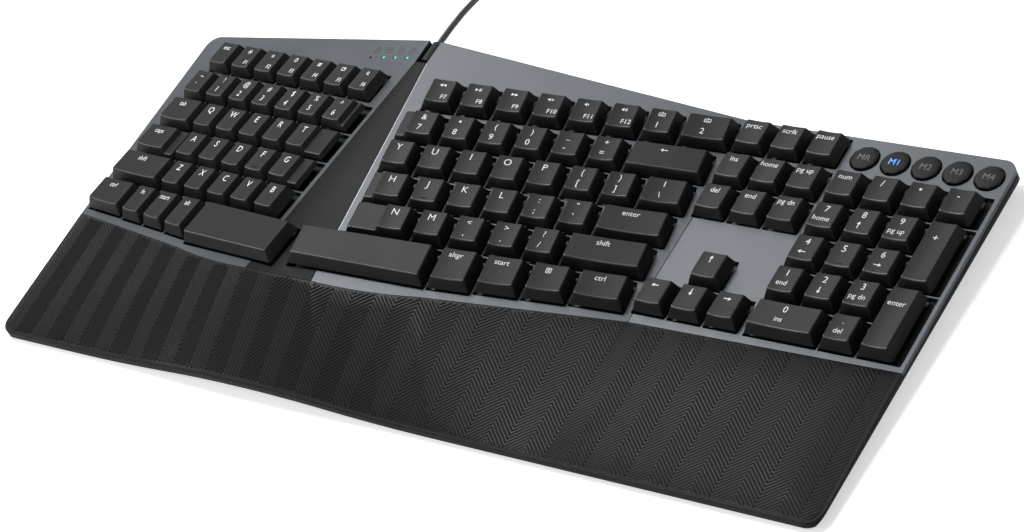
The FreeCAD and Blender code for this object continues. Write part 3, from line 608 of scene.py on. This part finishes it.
# Small printed signs, as flat shapes in millimetres about their middle
def bar(x0, y0, x1, y1, width=0.28):
    """A straight stroke from one point to another."""
    a, b = Vector((x0, y0)), Vector((x1, y1))
    side = (b - a).normalized().orthogonal() * width / 2
    return [tuple(a + side), tuple(a - side), tuple(b - side), tuple(b + side)]


def loop(points, width=0.26):
    """Strokes round a closed outline."""
    return [bar(*a, *b, width) for a, b in zip(points, points[1:] + points[:1])]


def disc(x, y, radius, count=12):
    """Points round a small disc."""
    turns = [2 * math.pi * k / count for k in range(count)]
    return [(x + radius * math.cos(t), y + radius * math.sin(t)) for t in turns]


def rays(count, inner, outer, width=0.26):
    """Short strokes all round the middle."""
    turns = [2 * math.pi * k / count for k in range(count)]
    return [bar(*(r * wave(t) for r in (inner, outer) for wave in (math.cos, math.sin)), width)
            for t in turns]


def arrow(turn):
    """A long thin arrow, turned by quarter turns from pointing right."""
    strokes = [bar(-1.4, 0, 0.6, 0, 0.34), [(0.4, 0.72), (0.4, -0.72), (1.5, 0)]]
    c, s = round(math.cos(turn * math.pi / 2)), round(math.sin(turn * math.pi / 2))
    return [[(c * x - s * y, s * x + c * y) for x, y in stroke] for stroke in strokes]


SHACKLE = [(-0.55, 0.3), (-0.55, 1.0), (0.55, 1.0), (0.55, 0.3)]
SPEAKER = [(-1.2, 0.3), (-0.8, 0.3), (-0.25, 0.75), (-0.25, -0.75), (-0.8, -0.3), (-1.2, -0.3)]
SIGNS = {
    "sun": [disc(0, 0, 0.5)] + rays(8, 0.75, 1.15),
    "dim": [disc(0, 0, 0.4)] + rays(8, 0.6, 0.85),
    "gauge": loop(disc(0, 0.1, 0.85, 10)) + [bar(0, 0.1, 0.5, 0.5)],
    "rows": [bar(-1.0, y, 1.0, y, 0.32) for y in (-0.6, 0.0, 0.6)],
    "window": loop([(-1.0, -0.7), (1.0, -0.7), (1.0, 0.7), (-1.0, 0.7)]) + [bar(0.1, 0.0, 0.9, 0.5)],
    "search": loop(disc(-0.15, 0.2, 0.6, 10)) + [bar(0.3, -0.3, 0.9, -0.9)],
    "rewind": [[(-1.4, 0), (-0.1, -0.65), (-0.1, 0.65)], [(0.0, 0), (1.3, -0.65), (1.3, 0.65)]],
    "forward": [[(0.1, -0.65), (1.4, 0), (0.1, 0.65)], [(-1.3, -0.65), (0.0, 0), (-1.3, 0.65)]],
    "play": [[(-1.3, -0.65), (-0.1, 0), (-1.3, 0.65)]] + [bar(x, -0.65, x, 0.65, 0.34) for x in (0.4, 1.0)],
    "mute": [SPEAKER, bar(0.2, -0.4, 1.0, 0.4), bar(0.2, 0.4, 1.0, -0.4)],
    "quiet": [SPEAKER, bar(0.25, -0.4, 0.25, 0.4)],
    "loud": [SPEAKER, bar(0.25, -0.4, 0.25, 0.4), bar(0.75, -0.7, 0.75, 0.7)],
    "mode": loop([(-1.2, -0.7), (1.2, -0.7), (1.2, 0.6), (-1.2, 0.6)])
            + [bar(-0.7, -0.2, 0.7, -0.2), bar(0, 0.6, 0, 1.2)],
    "menu": loop([(-0.9, -1.0), (0.9, -1.0), (0.9, 1.0), (-0.9, 1.0)])
            + [bar(-0.5, y, 0.5, y, 0.24) for y in (-0.4, 0.1, 0.5)],
    "star": [bar(-0.6, 0, 0.6, 0), bar(-0.3, -0.52, 0.3, 0.52), bar(-0.3, 0.52, 0.3, -0.52)],
    "bar": [bar(0, -1.2, 0, 1.2, 0.34)],
    "right": arrow(0), "up": arrow(1), "left": arrow(2), "down": arrow(3),
    "lock": loop([(-0.9, -1.0), (0.9, -1.0), (0.9, 0.3), (-0.9, 0.3)], 0.2)
            + [bar(*a, *b, 0.2) for a, b in zip(SHACKLE, SHACKLE[1:])],
}
SIGN_SCALE = 1.3
LETTER_MIDDLE = 0.36
WORD_MIDDLE = 0.26
PRINTED = {}


def printed(text, size):
    """Flat letters as points and faces about their middle; a sign where the text names one."""
    if text.startswith("*") and text[1:] in SIGNS:
        points, faces = [], []
        for stroke in SIGNS[text[1:]]:
            turn = sum(a[0] * b[1] - b[0] * a[1] for a, b in zip(stroke, stroke[1:] + stroke[:1]))
            stroke = stroke if turn > 0 else stroke[::-1]
            put_in(points, faces, [(x * SIGN_SCALE, y * SIGN_SCALE) for x, y in stroke], [range(len(stroke))])
        return points, faces
    if (text, size) not in PRINTED:
        curve = bpy.data.curves.new("letters", "FONT")
        curve.body = text
        curve.size = size
        curve.resolution_u = 3
        curve.align_x = "CENTER"
        holder = placed("letters", curve)
        flat = bpy.data.meshes.new_from_object(holder)
        tall = (LETTER_MIDDLE if len(text) == 1 or text[0] == "F" else WORD_MIDDLE) * size
        PRINTED[(text, size)] = ([(v.co.x, v.co.y - tall) for v in flat.vertices],
                                 [list(p.vertices) for p in flat.polygons])
        bpy.data.objects.remove(holder)
        bpy.data.curves.remove(curve)
        bpy.data.meshes.remove(flat)
    return PRINTED[(text, size)]


def legend_places(legend, letter, word):
    """Each mark of a legend: what, how far across, how far from the back, and its size."""
    if not legend:
        return []
    first, _, second = legend.partition("|")
    if not second:
        return [(first, 0.44, 0.27, letter if len(first) == 1 else word)]
    if first.startswith("*") and second.startswith("F"):
        return [(first, 0.48, 0.25, 0), (second, 0.72, 0.76, word * 0.92)]
    if len(second) > 1:
        return [(first, 0.46, 0.24, letter * 0.92), (second, 0.43, 0.68, word * 0.95)]
    return [(first, 0.46, 0.24, letter * 0.86), (second, 0.43, 0.70, letter * 0.92)]


class CapMaker:
    """Collects the faces of one group of like caps, in its block's millimetres."""

    def __init__(self, sizes):
        self.sizes = sizes
        self.points = []
        self.faces = []
        self.marks = []
        self.painted_highlights = []

    def ring(self, body, z, inset, dished):
        """One ring round a cap's body at a height: its front row and its back row of points."""
        t = (z - body["low"]) / (body["top"] - body["low"]) * body["share"]
        left = body["x0"] + body["lean"][0] * t + inset
        right = body["x1"] - body["lean"][1] * t - inset
        back = body["y1"] - BACK_SLOPE * t - inset
        r = max(CAP_CORNER - inset, SMALLEST_CORNER)
        near, far = body["reach"]
        rows = ([], [])
        columns = max(5, int((right - left) / COLUMN_WIDTH))
        spots = [(left + r - r * math.cos(a), 1 - math.sin(a)) for a in CORNER_TURNS]
        spots += [(left + r + (right - left - 2 * r) * k / columns, 0.0) for k in range(1, columns)]
        spots += [(right - r + r * math.sin(a), 1 - math.cos(a)) for a in CORNER_TURNS]
        for x, pull in spots:
            share = (x - body["x0"]) / (body["x1"] - body["x0"])
            sink = self.dip(body, x) if dished else 0.0
            slope = FRONT_SLOPE * (t - sink / (body["top"] - body["low"]) * body["share"])
            front = body["y0"] - near - (far - near) * share + slope + inset
            rows[0].append((x, front + r * pull, z - sink))
            rows[1].append((x, back - r * pull, z - sink))
        return rows

    def dip(self, body, x):
        """How far the dished top lies below the cap's sides at x."""
        half = (body["x1"] - body["x0"]) / 2 - SIDE_SLOPE
        off = (x - (body["x0"] + body["x1"]) / 2) / half
        return body["dish"] * max(0.0, 1 - off * off)

    def shell(self, body):
        """A hollow cap: roof and wall inside, rim, wall outside, rounded edge and dished top."""
        low, top, edge = body["low"], body["top"], self.sizes.edge / MM
        rings = [self.ring(body, top - CAP_ROOF, CAP_WALL, False), self.ring(body, low, CAP_WALL, False),
                 self.ring(body, low, 0.0, False)]
        for a in EDGE_TURNS:
            s, c = math.sin(math.radians(a)), math.cos(math.radians(a))
            rings.append(self.ring(body, top - edge * (1 - s), edge * (1 - c) * EDGE_DEPTH, True))
        starts = []
        for front, behind in rings:
            starts.append(len(self.points))
            self.points += front + behind[::-1]
        count = len(rings[0][0])
        whole = 2 * count
        for step, (a, b) in enumerate(zip(starts, starts[1:])):
            for i in range(whole):
                j = (i + 1) % whole
                # the front rounded edge's faces take the painted highlight finish
                if step > 3 and i < count - 1:
                    self.painted_highlights.append(len(self.faces))
                self.faces.append((a + i, a + j, b + j, b + i))
        for start, up in ((starts[-1], True), (starts[0], False)):
            for i in range(count - 1):
                quad = (start + i, start + i + 1, start + whole - 2 - i, start + whole - 1 - i)
                self.faces.append(quad if up else quad[::-1])

    def block(self, x0, x1, y0, y1, z0, z1, draw=0.0):
        """A small post or bar whose top is drawn in a little."""
        corners = []
        for z, d in ((z0, 0.0), (z1, draw)):
            corners += [(x0 + d, y0 + d, z), (x1 - d, y0 + d, z), (x1 - d, y1 - d, z), (x0 + d, y1 - d, z)]
        put_in(self.points, self.faces, corners, BOX_FACES)

    def add(self, side, spec):
        """Adds one cap with its shelves, stem, raised bar and legend."""
        s = self.sizes
        pitch, half = s.pitch / MM, s.gap / MM / 2
        row = spec["row"] + FIRST_ROWS[side] + (FUNCTION_SHIFT if spec["row"] == 5 else 0.0)
        middle = pitch / 2 - half - FRONT_SLOPE
        y0 = (row - 0.5) * pitch + middle + half
        y1 = y0 + spec["tall"] * pitch - 2 * half
        x0, x1 = spec["x0"] * pitch + half, spec["x1"] * pitch - half
        left, right = spec["raised"][0] * pitch + half, spec["raised"][1] * pitch - half
        top, low = ROW_RISE[spec["row"]], -s.skirt / MM
        dish = 0.0 if "space" in spec["node"] else s.dish / MM
        body = {"x0": left, "x1": right, "y0": y0, "y1": y1, "low": low, "top": top, "share": 1.0,
                "reach": spec["reach"], "dish": dish, "lean": (SIDE_SLOPE, SIDE_SLOPE)}
        self.shell(body)
        shelf = top - s.step / MM
        share = (shelf - low) / (top - low)
        meet = SIDE_SLOPE * share + SHELF_LAP
        ends = (x0 if x0 != left else left + SIDE_SLOPE, x1 if x1 != right else right - SIDE_SLOPE)
        for a, b, lean, there in ((x0, left + meet, (SIDE_SLOPE, 0.0), x0 != left),
                                  (right - meet, x1, (0.0, SIDE_SLOPE), x1 != right)):
            if there:
                near, far = spec["reach"]
                reach = [near + (far - near) * (x - ends[0]) / (ends[1] - ends[0]) for x in (a, b)]
                self.shell({**body, "x0": a, "x1": b, "top": shelf, "share": share, "reach": reach,
                            "dish": 0.0, "lean": lean})
        cx, cy = (left + right) / 2, (y0 + y1 - sum(spec["reach"]) / 2) / 2
        self.block(cx - STEM, cx + STEM, cy - STEM, cy + STEM, STEM_END, top - CAP_ROOF + STEM_GRIP)
        if spec["legend"] in BARRED:
            bar_y = y0 + FRONT_SLOPE + BAR_FROM_FRONT
            self.block(cx - BAR_HALF_X, cx + BAR_HALF_X, bar_y - BAR_HALF_Y, bar_y + BAR_HALF_Y,
                       top - CAP_WALL, top - dish + BAR_RISE, BAR_DRAW)
        wide, deep = right - left - 2 * SIDE_SLOPE, y1 - y0 - FRONT_SLOPE - BACK_SLOPE
        for text, across, down, size in legend_places(spec["legend"], s.letter / MM, s.word / MM):
            flat, faces = printed(text, size)
            px = left + SIDE_SLOPE + across * wide
            py = y1 - BACK_SLOPE - down * deep
            self.marks += range(len(self.faces), len(self.faces) + len(faces))
            put_in(self.points, self.faces,
                   [(px + x, py + y, top - self.dip(body, px + x) + LEGEND_LIFT) for x, y in flat], faces)

    def mesh(self, name, place):
        """The group's mesh: finish 0 on the caps, 1 on the legends and 2 on the front edges, whose lighter
        colour is a painted highlight.
        """
        made = mesh_of(name, in_metres(place, self.points), self.faces)
        made.shade_smooth()
        for index in self.marks:
            made.polygons[index].material_index = 1
            made.polygons[index].use_smooth = False
        for index in self.painted_highlights:
            made.polygons[index].material_index = 2
        made.set_sharp_from_angle(angle=math.radians(SHARP_CAP))
        rough = placed(name, made)
        rough.modifiers.new("flat_faces", "WEIGHTED_NORMAL").keep_sharp = True
        return finished(rough, name)


class KEYBOARD_OT_caps(bpy.types.Operator):
    """Make every key cap with its dished top, rounded edges and printed legend"""
    bl_idname = "keyboard.make_caps"
    bl_label = "Key caps"

    def execute(self, context):
        sizes = context.scene.keyboard_caps
        for side, specs in LAYOUT.items():
            makers = {}
            for spec in specs:
                makers.setdefault(spec["node"], CapMaker(sizes)).add(side, spec)
            for node, maker in makers.items():
                name = node + "_caps"
                piece(name, maker.mesh(name, BLOCKS[side]), ["key_black", "legend", "key_brim"], node,
                      (node,))
        return {"FINISHED"}


class KEYBOARD_OT_case(bpy.types.Operator):
    """Finish the bottom case, its feet, its screws and its fold-out legs"""
    bl_idname = "keyboard.make_case"
    bl_label = "Case and legs"

    def execute(self, context):
        softened("bottom_case", "case_shell", "case_black", "base", 0.5)
        dress("rubber_feet", "rubber_black")
        dress("case_screws", "screw_steel")
        for leg in ("left_fold_out_leg", "right_fold_out_leg"):
            softened(leg, leg + "_arm", "case_black", leg, 0.4)
        return {"FINISHED"}


# The painted highlight along the right deck's west edge, in millimetres
EDGE_HIGHLIGHT_WIDTH = 0.45
EDGE_HIGHLIGHT_LIFT = 0.03
LONG_EDGE = 40


def painted_edge_highlight(node, name):
    """A painted highlight: a bright strip along a plate's long upper edges that face west."""
    work = bmesh.new()
    work.from_mesh(nodes[node].data)
    merge(work)
    work.normal_update()
    points, faces = [], []
    for edge in work.edges:
        if len(edge.link_faces) != 2 or edge.calc_length() < LONG_EDGE * MM:
            continue
        top, wall = sorted(edge.link_faces, key=lambda face: -face.normal.z)
        if top.normal.z < 0.9 or wall.normal.x > -0.8:
            continue
        inward = top.normal.cross(edge.verts[1].co - edge.verts[0].co).normalized()
        if inward.dot(wall.normal) > 0:
            inward.negate()
        corners = []
        for lift in (-EDGE_HIGHLIGHT_LIFT, EDGE_HIGHLIGHT_LIFT):
            for end, step in ((0, 0.0), (1, 0.0), (1, EDGE_HIGHLIGHT_WIDTH), (0, EDGE_HIGHLIGHT_WIDTH)):
                corners.append(tuple(edge.verts[end].co + inward * step * MM + top.normal * lift * MM))
        put_in(points, faces, corners, BOX_FACES)
    work.free()
    if not faces:
        raise RuntimeError("no long edge was found on " + node)
    mesh = mesh_of(name, points, faces)
    outward = bmesh.new()
    outward.from_mesh(mesh)
    bmesh.ops.recalc_face_normals(outward, faces=outward.faces)
    outward.to_mesh(mesh)
    outward.free()
    return mesh


class KEYBOARD_OT_deck(bpy.types.Operator):
    """Finish the three deck plates and the strip between the halves"""
    bl_idname = "keyboard.make_deck"
    bl_label = "Deck plates"

    def execute(self, context):
        for side in ("left", "right", "numpad"):
            dress(side + "_top_plate", "deck_grey")
        dress("centre_wedge", "wedge_grey")
        # a bright strip laid along the right deck's edge beside the wedge: a painted highlight
        name = "right_deck_painted_edge_highlight"
        piece(name, painted_edge_highlight("right_top_plate", name), ["edge_metal"], "base")
        return {"FINISHED"}


class KEYBOARD_OT_inside(bpy.types.Operator):
    """Finish the boards and switch housings that show between the caps"""
    bl_idname = "keyboard.make_inside"
    bl_label = "Boards and switches"

    def execute(self, context):
        for side in ("left", "right", "numpad"):
            dress(side + "_switch_board", "board_dark")
            dress(side + "_switches", "switch_dark")
        return {"FINISHED"}


# Ribbed cover of the palm rest, in metres
RIB_SINK = 0.00008
RIB_WIDTH_SHARE = 0.97
RIB_PITCH_SHARE = 0.84
RAY_TOP = 0.2
FAINT_FROM, FAINT_TO, FAINT_MOST = -0.06, 0.08, 0.55
SPARE_RIBS = 8


def rib_tree(finish):
    """Slanting ribs in bands that run to the back, each band the other way, laid onto a cover."""
    tree = bpy.data.node_groups.new("slanting_ribs", "GeometryNodeTree")
    kinds = {"Cover": "Geometry", "Bands": "Int", "Ribs in a band": "Int", "Middle": "Vector"}
    for name in ("Cover", "Band width", "Rib pitch", "Rib height", "Rib slant", "Length", "Depth", "West",
                 "Bands", "Ribs in a band", "Middle"):
        kind = "NodeSocket" + kinds.get(name, "Float")
        tree.interface.new_socket(name, in_out="INPUT", socket_type=kind)
    tree.interface.new_socket("Ribs", in_out="OUTPUT", socket_type="NodeSocketGeometry")
    sums = Sums(tree)
    size = tree.nodes.new("NodeGroupInput").outputs

    def parts(vector):
        return added(tree, "ShaderNodeSeparateXYZ", {0: vector}).outputs

    def joined(x=0.0, y=0.0, z=0.0):
        return added(tree, "ShaderNodeCombineXYZ", {0: x, 1: y, 2: z}).outputs[0]

    def grid(wide, deep, columns, rows):
        given = {"Size X": wide, "Size Y": deep, "Vertices X": columns, "Vertices Y": rows}
        return added(tree, "GeometryNodeMeshGrid", given).outputs["Mesh"]

    def nudged(shape, way, vector):
        return added(tree, "GeometryNodeSetPosition", {"Geometry": shape, way: vector}).outputs["Geometry"]

    def position():
        return tree.nodes.new("GeometryNodeInputPosition").outputs[0]

    # one rib: a low roof across its band, its edges sunk below the cover
    rib = grid(sums("MULTIPLY", size["Band width"], RIB_WIDTH_SHARE),
               sums("MULTIPLY", size["Rib pitch"], RIB_PITCH_SHARE), 8, 3)
    ridge = sums("LESS_THAN", sums("ABSOLUTE", parts(position())[1]), 0.0001)
    rise = sums("SUBTRACT", sums("MULTIPLY", ridge, sums("ADD", size["Rib height"], RIB_SINK)), RIB_SINK)
    keep = tree.nodes.new("GeometryNodeCaptureAttribute")
    keep.capture_items.new("VECTOR", "Own place")
    fill(tree, keep, {"Geometry": nudged(rib, "Offset", joined(z=rise)), "Own place": position()})

    # a field of them, sheared one way and the other
    field = nudged(grid(size["Length"], size["Depth"], size["Bands"], size["Ribs in a band"]),
                   "Offset", size["Middle"])
    given = {"Points": field, "Instance": keep.outputs["Geometry"]}
    ribs = added(tree, "GeometryNodeInstanceOnPoints", given).outputs[0]
    real = added(tree, "GeometryNodeRealizeInstances", {0: ribs})
    here = parts(position())
    own = parts(keep.outputs["Own place"])
    band = sums("FLOOR", sums("DIVIDE", sums("SUBTRACT", here[0], size["West"]), size["Band width"]))
    odd = sums("FLOORED_MODULO", band, 2.0)
    way = sums("MULTIPLY_ADD", odd, 2.0, -1.0)
    shear = sums("MULTIPLY", sums("MULTIPLY", way, size["Rib slant"]), own[0])
    shape = nudged(real.outputs[0], "Offset", joined(y=shear))

    # laid onto the cover, and left out beside it
    ray = added(tree, "GeometryNodeRaycast", {
        "Target Geometry": size["Cover"], "Source Position": joined(here[0], here[1], RAY_TOP),
        "Ray Direction": (0, 0, -1), "Ray Length": 2 * RAY_TOP})
    missed = added(tree, "FunctionNodeBooleanMath", {0: ray.outputs["Is Hit"]})
    missed.operation = "NOT"
    trimmed = added(tree, "GeometryNodeDeleteGeometry", {"Geometry": shape, "Selection": missed.outputs[0]})
    faint = spread(tree, here[0], 0.0, FAINT_MOST, FAINT_FROM, FAINT_TO)
    strength = sums("SUBTRACT", 1.0, sums("MULTIPLY", odd, faint))
    height = sums("ADD", parts(ray.outputs["Hit Position"])[2], sums("MULTIPLY", own[2], strength))
    laid = nudged(trimmed.outputs[0], "Position", joined(here[0], here[1], height))
    coat = added(tree, "GeometryNodeSetMaterial", {"Material": finish, "Geometry": laid})
    added(tree, "NodeGroupOutput", {0: coat.outputs[0]})
    return tree


class KEYBOARD_OT_rest(bpy.types.Operator):
    """Make the palm rest's cover and lay its bands of slanting ribs"""
    bl_idname = "keyboard.make_rest"
    bl_label = "Palm rest"

    def execute(self, context):
        s = context.scene.keyboard_rest
        low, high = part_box("palm_rest_pad")
        softened("palm_rest_pad", "rest_cover", "rest_black", "base", 0.4)
        bands = int((high.x - low.x) / s.band) + 1
        ribs = int((high.y - low.y) / s.pitch) + SPARE_RIBS
        length, depth = (bands - 1) * s.band, (ribs - 1) * s.pitch
        middle = ((low.x + high.x) / 2, (low.y + high.y) / 2, 0.0)
        field = placed("rib_field", nodes["palm_rest_pad"].data.copy())
        tree = rib_tree(finishes()["rest_black"])
        layer = field.modifiers.new("ribs", "NODES")
        layer.node_group = tree
        values = {"Band width": s.band, "Rib pitch": s.pitch, "Rib height": s.height, "Rib slant": s.slant,
                  "Length": length, "Depth": depth, "West": middle[0] - length / 2 - s.band / 2,
                  "Bands": bands, "Ribs in a band": ribs, "Middle": middle}
        for item in tree.interface.items_tree:
            if item.item_type == "SOCKET" and item.in_out == "INPUT" and item.name in values:
                layer[item.identifier] = values[item.name]
        made = finished(field, "rest_ribs")
        if not made.polygons:
            raise RuntimeError("the palm rest's ribs came out empty")
        made.materials.clear()
        piece("rest_ribs", made, ["rest_black"], "base")
        return {"FINISHED"}


# Round buttons and lamps, in millimetres
BUTTONS = {"record_button": "MR", "macro_button_1": "M1", "macro_button_2": "M2", "macro_button_3": "M3",
           "macro_button_4": "M4"}
LIT_BUTTON = "macro_button_1"
BUTTON_X = 240.3
BUTTON_SPACING = 15.7
BUTTON_Y = 47.0
BUTTON_RADIUS = 6.8
BUTTON_FLAT = 6.5
BUTTON_DOME = 60.0
BUTTON_HEIGHT = 2.4
BUTTON_PROUD = 1.4
SHARP_BUTTON = 50
BUTTON_LETTER = 4.8
BUTTON_LETTER_DROP = 0.4
BUTTON_LETTER_LIFT = 0.06
LAMP_COUNT = 4
LAMP_X = -35.4
LAMP_SPACING = 8.0
LAMP_Y = 46.4
LAMP_RADIUS = 0.68
LAMP_DOME = 2.2
LAMP_HEIGHT = 1.8
LAMP_PROUD = 0.25
LOCK_SHIFT = 0.7
LOCK_BEHIND = 4.9
LOCK_SCALE = 1.3
LOCK_LIFT = 0.03


def domed(x, y, top, height, radius, flat, dome, place, edge=0.55, count=48):
    """A low domed button with eight flats and rounded edges, closed below, as points and faces."""
    outline = []
    for k in range(count):
        a = 2 * math.pi * k / count
        off = (a + math.pi / 8) % (math.pi / 4) - math.pi / 8
        outline.append((min(radius, flat / math.cos(off)), a))
    levels = [(1.0, -height, 0.0), (1.0, -edge * 1.6, 0.0)]
    levels += [(1.0, -edge * (1 - math.sin(a)), edge * (1 - math.cos(a))) for a in (0.5, 1.0, 1.5)]
    levels += [(0.7, 0.0, 0.0), (0.35, 0.0, 0.0)]
    points, faces = [], []
    for share, drop, inset in levels:
        for r, a in outline:
            span = r * share - inset
            sink = dome - math.sqrt(dome * dome - span * span) if drop > -height else 0.0
            points.append((x + span * math.cos(a), y + span * math.sin(a), top + drop - sink))
    for level in range(len(levels) - 1):
        for k in range(count):
            a, b = level * count + k, level * count + (k + 1) % count
            faces.append((a, b, b + count, a + count))
    points.append((x, y, top))
    last = (len(levels) - 1) * count
    faces += [(last + k, last + (k + 1) % count, len(points) - 1) for k in range(count)]
    faces.append(tuple(range(count))[::-1])
    return in_metres(place, points), faces


def two_finishes(name, points, faces, finish, smooth):
    """A mesh with a finish's index and a smooth or flat look for each face."""
    mesh = mesh_of(name, points, faces)
    mesh.polygons.foreach_set("material_index", finish)
    mesh.polygons.foreach_set("use_smooth", smooth)
    return mesh


class KEYBOARD_OT_buttons(bpy.types.Operator):
    """Make the five round buttons with their letters, one of them lit"""
    bl_idname = "keyboard.make_buttons"
    bl_label = "Round buttons"

    def execute(self, context):
        place = SIDES["numpad"]
        top = -PLATE_DROP + BUTTON_PROUD
        for i, (node, text) in enumerate(BUTTONS.items()):
            x = BUTTON_X + i * BUTTON_SPACING - FOLD_X
            points, faces = domed(x, BUTTON_Y, top, BUTTON_HEIGHT, BUTTON_RADIUS, BUTTON_FLAT, BUTTON_DOME,
                                  place)
            solid = len(faces)
            flat, marks = printed(text, BUTTON_LETTER)
            letters = []
            for px, py in flat:
                py -= BUTTON_LETTER_DROP
                sink = BUTTON_DOME - math.sqrt(BUTTON_DOME ** 2 - px * px - py * py)
                letters.append((x + px, BUTTON_Y + py, top - sink + BUTTON_LETTER_LIFT))
            put_in(points, faces, in_metres(place, letters), marks)
            raised = [0] * solid + [1] * len(marks)
            mesh = two_finishes(node + "_dome", points, faces, raised, [not mark for mark in raised])
            mesh.set_sharp_from_angle(angle=math.radians(SHARP_BUTTON))
            piece(node + "_dome", mesh, ["button_grey", "lit_legend" if node == LIT_BUTTON else "dim_legend"],
                  node, (node,))
        return {"FINISHED"}


class KEYBOARD_OT_lamps(bpy.types.Operator):
    """Make the four lamps near the ridge and the padlock signs behind them"""
    bl_idname = "keyboard.make_lamps"
    bl_label = "Lamps"

    def execute(self, context):
        place = SIDES["left"]
        level = -PLATE_DROP
        lens_points, lens_faces, lit, sign_points, sign_faces = [], [], [], [], []
        for i in range(LAMP_COUNT):
            x = (LAMP_X + i * LAMP_SPACING) / math.cos(math.radians(TENT))
            lens = domed(x, LAMP_Y, level + LAMP_PROUD, LAMP_HEIGHT, LAMP_RADIUS, LAMP_RADIUS, LAMP_DOME,
                         place, 0.1, 20)
            put_in(lens_points, lens_faces, *lens)
            lit += [min(i, 1)] * len(lens[1])
            x = (LAMP_X + LOCK_SHIFT + i * LAMP_SPACING) / math.cos(math.radians(TENT))
            flat, marks = printed("*lock", 0)
            spots = [(x + LOCK_SCALE * px, LAMP_Y + LOCK_BEHIND + LOCK_SCALE * py, level + LOCK_LIFT)
                     for px, py in flat]
            put_in(sign_points, sign_faces, in_metres(place, spots), marks)
        mesh = two_finishes("lamp_lenses", lens_points, lens_faces, lit, [True] * len(lit))
        piece("lamp_lenses", mesh, ["lamp_off", "lamp_cyan"], "base", ("indicator_lenses",))
        signs = mesh_of("lamp_signs", sign_points, sign_faces)
        piece("lamp_signs", signs, ["dark_legend"], "base")
        return {"FINISHED"}


class KEYBOARD_PT_panel(bpy.types.Panel):
    """The keyboard's pieces, sizes and finishes"""
    bl_label = "Keyboard"
    bl_idname = "KEYBOARD_PT_panel"
    bl_space_type = "VIEW_3D"
    bl_region_type = "UI"
    bl_category = "Keyboard"

    def draw(self, context):
        for name in GROUPS:
            group = getattr(context.scene, name)
            column = self.layout.column(align=True)
            for key in group.__annotations__:
                column.prop(group, key)
        for maker in MAKERS:
            self.layout.operator(maker.bl_idname)


GROUPS = {"keyboard_caps": KeyboardCapSizes, "keyboard_rest": KeyboardRestSizes,
          "keyboard_cable": KeyboardCableSizes, "keyboard_finishes": KeyboardFinishes}
MAKERS = (KEYBOARD_OT_stage, KEYBOARD_OT_cable, KEYBOARD_OT_case, KEYBOARD_OT_deck, KEYBOARD_OT_inside,
          KEYBOARD_OT_rest, KEYBOARD_OT_caps, KEYBOARD_OT_buttons, KEYBOARD_OT_lamps)
CLASSES = (*GROUPS.values(), *MAKERS, KEYBOARD_PT_panel)


def register():
    for item in CLASSES:
        bpy.utils.register_class(item)
    for name, group in GROUPS.items():
        setattr(bpy.types.Scene, name, PointerProperty(type=group))


def unregister():
    for name in GROUPS:
        delattr(bpy.types.Scene, name)
    for item in reversed(CLASSES):
        bpy.utils.unregister_class(item)


def main():
    register()
    for maker in MAKERS:
        getattr(bpy.ops.keyboard, maker.bl_idname.split(".")[1])()


if __name__ == "__main__":
    main()
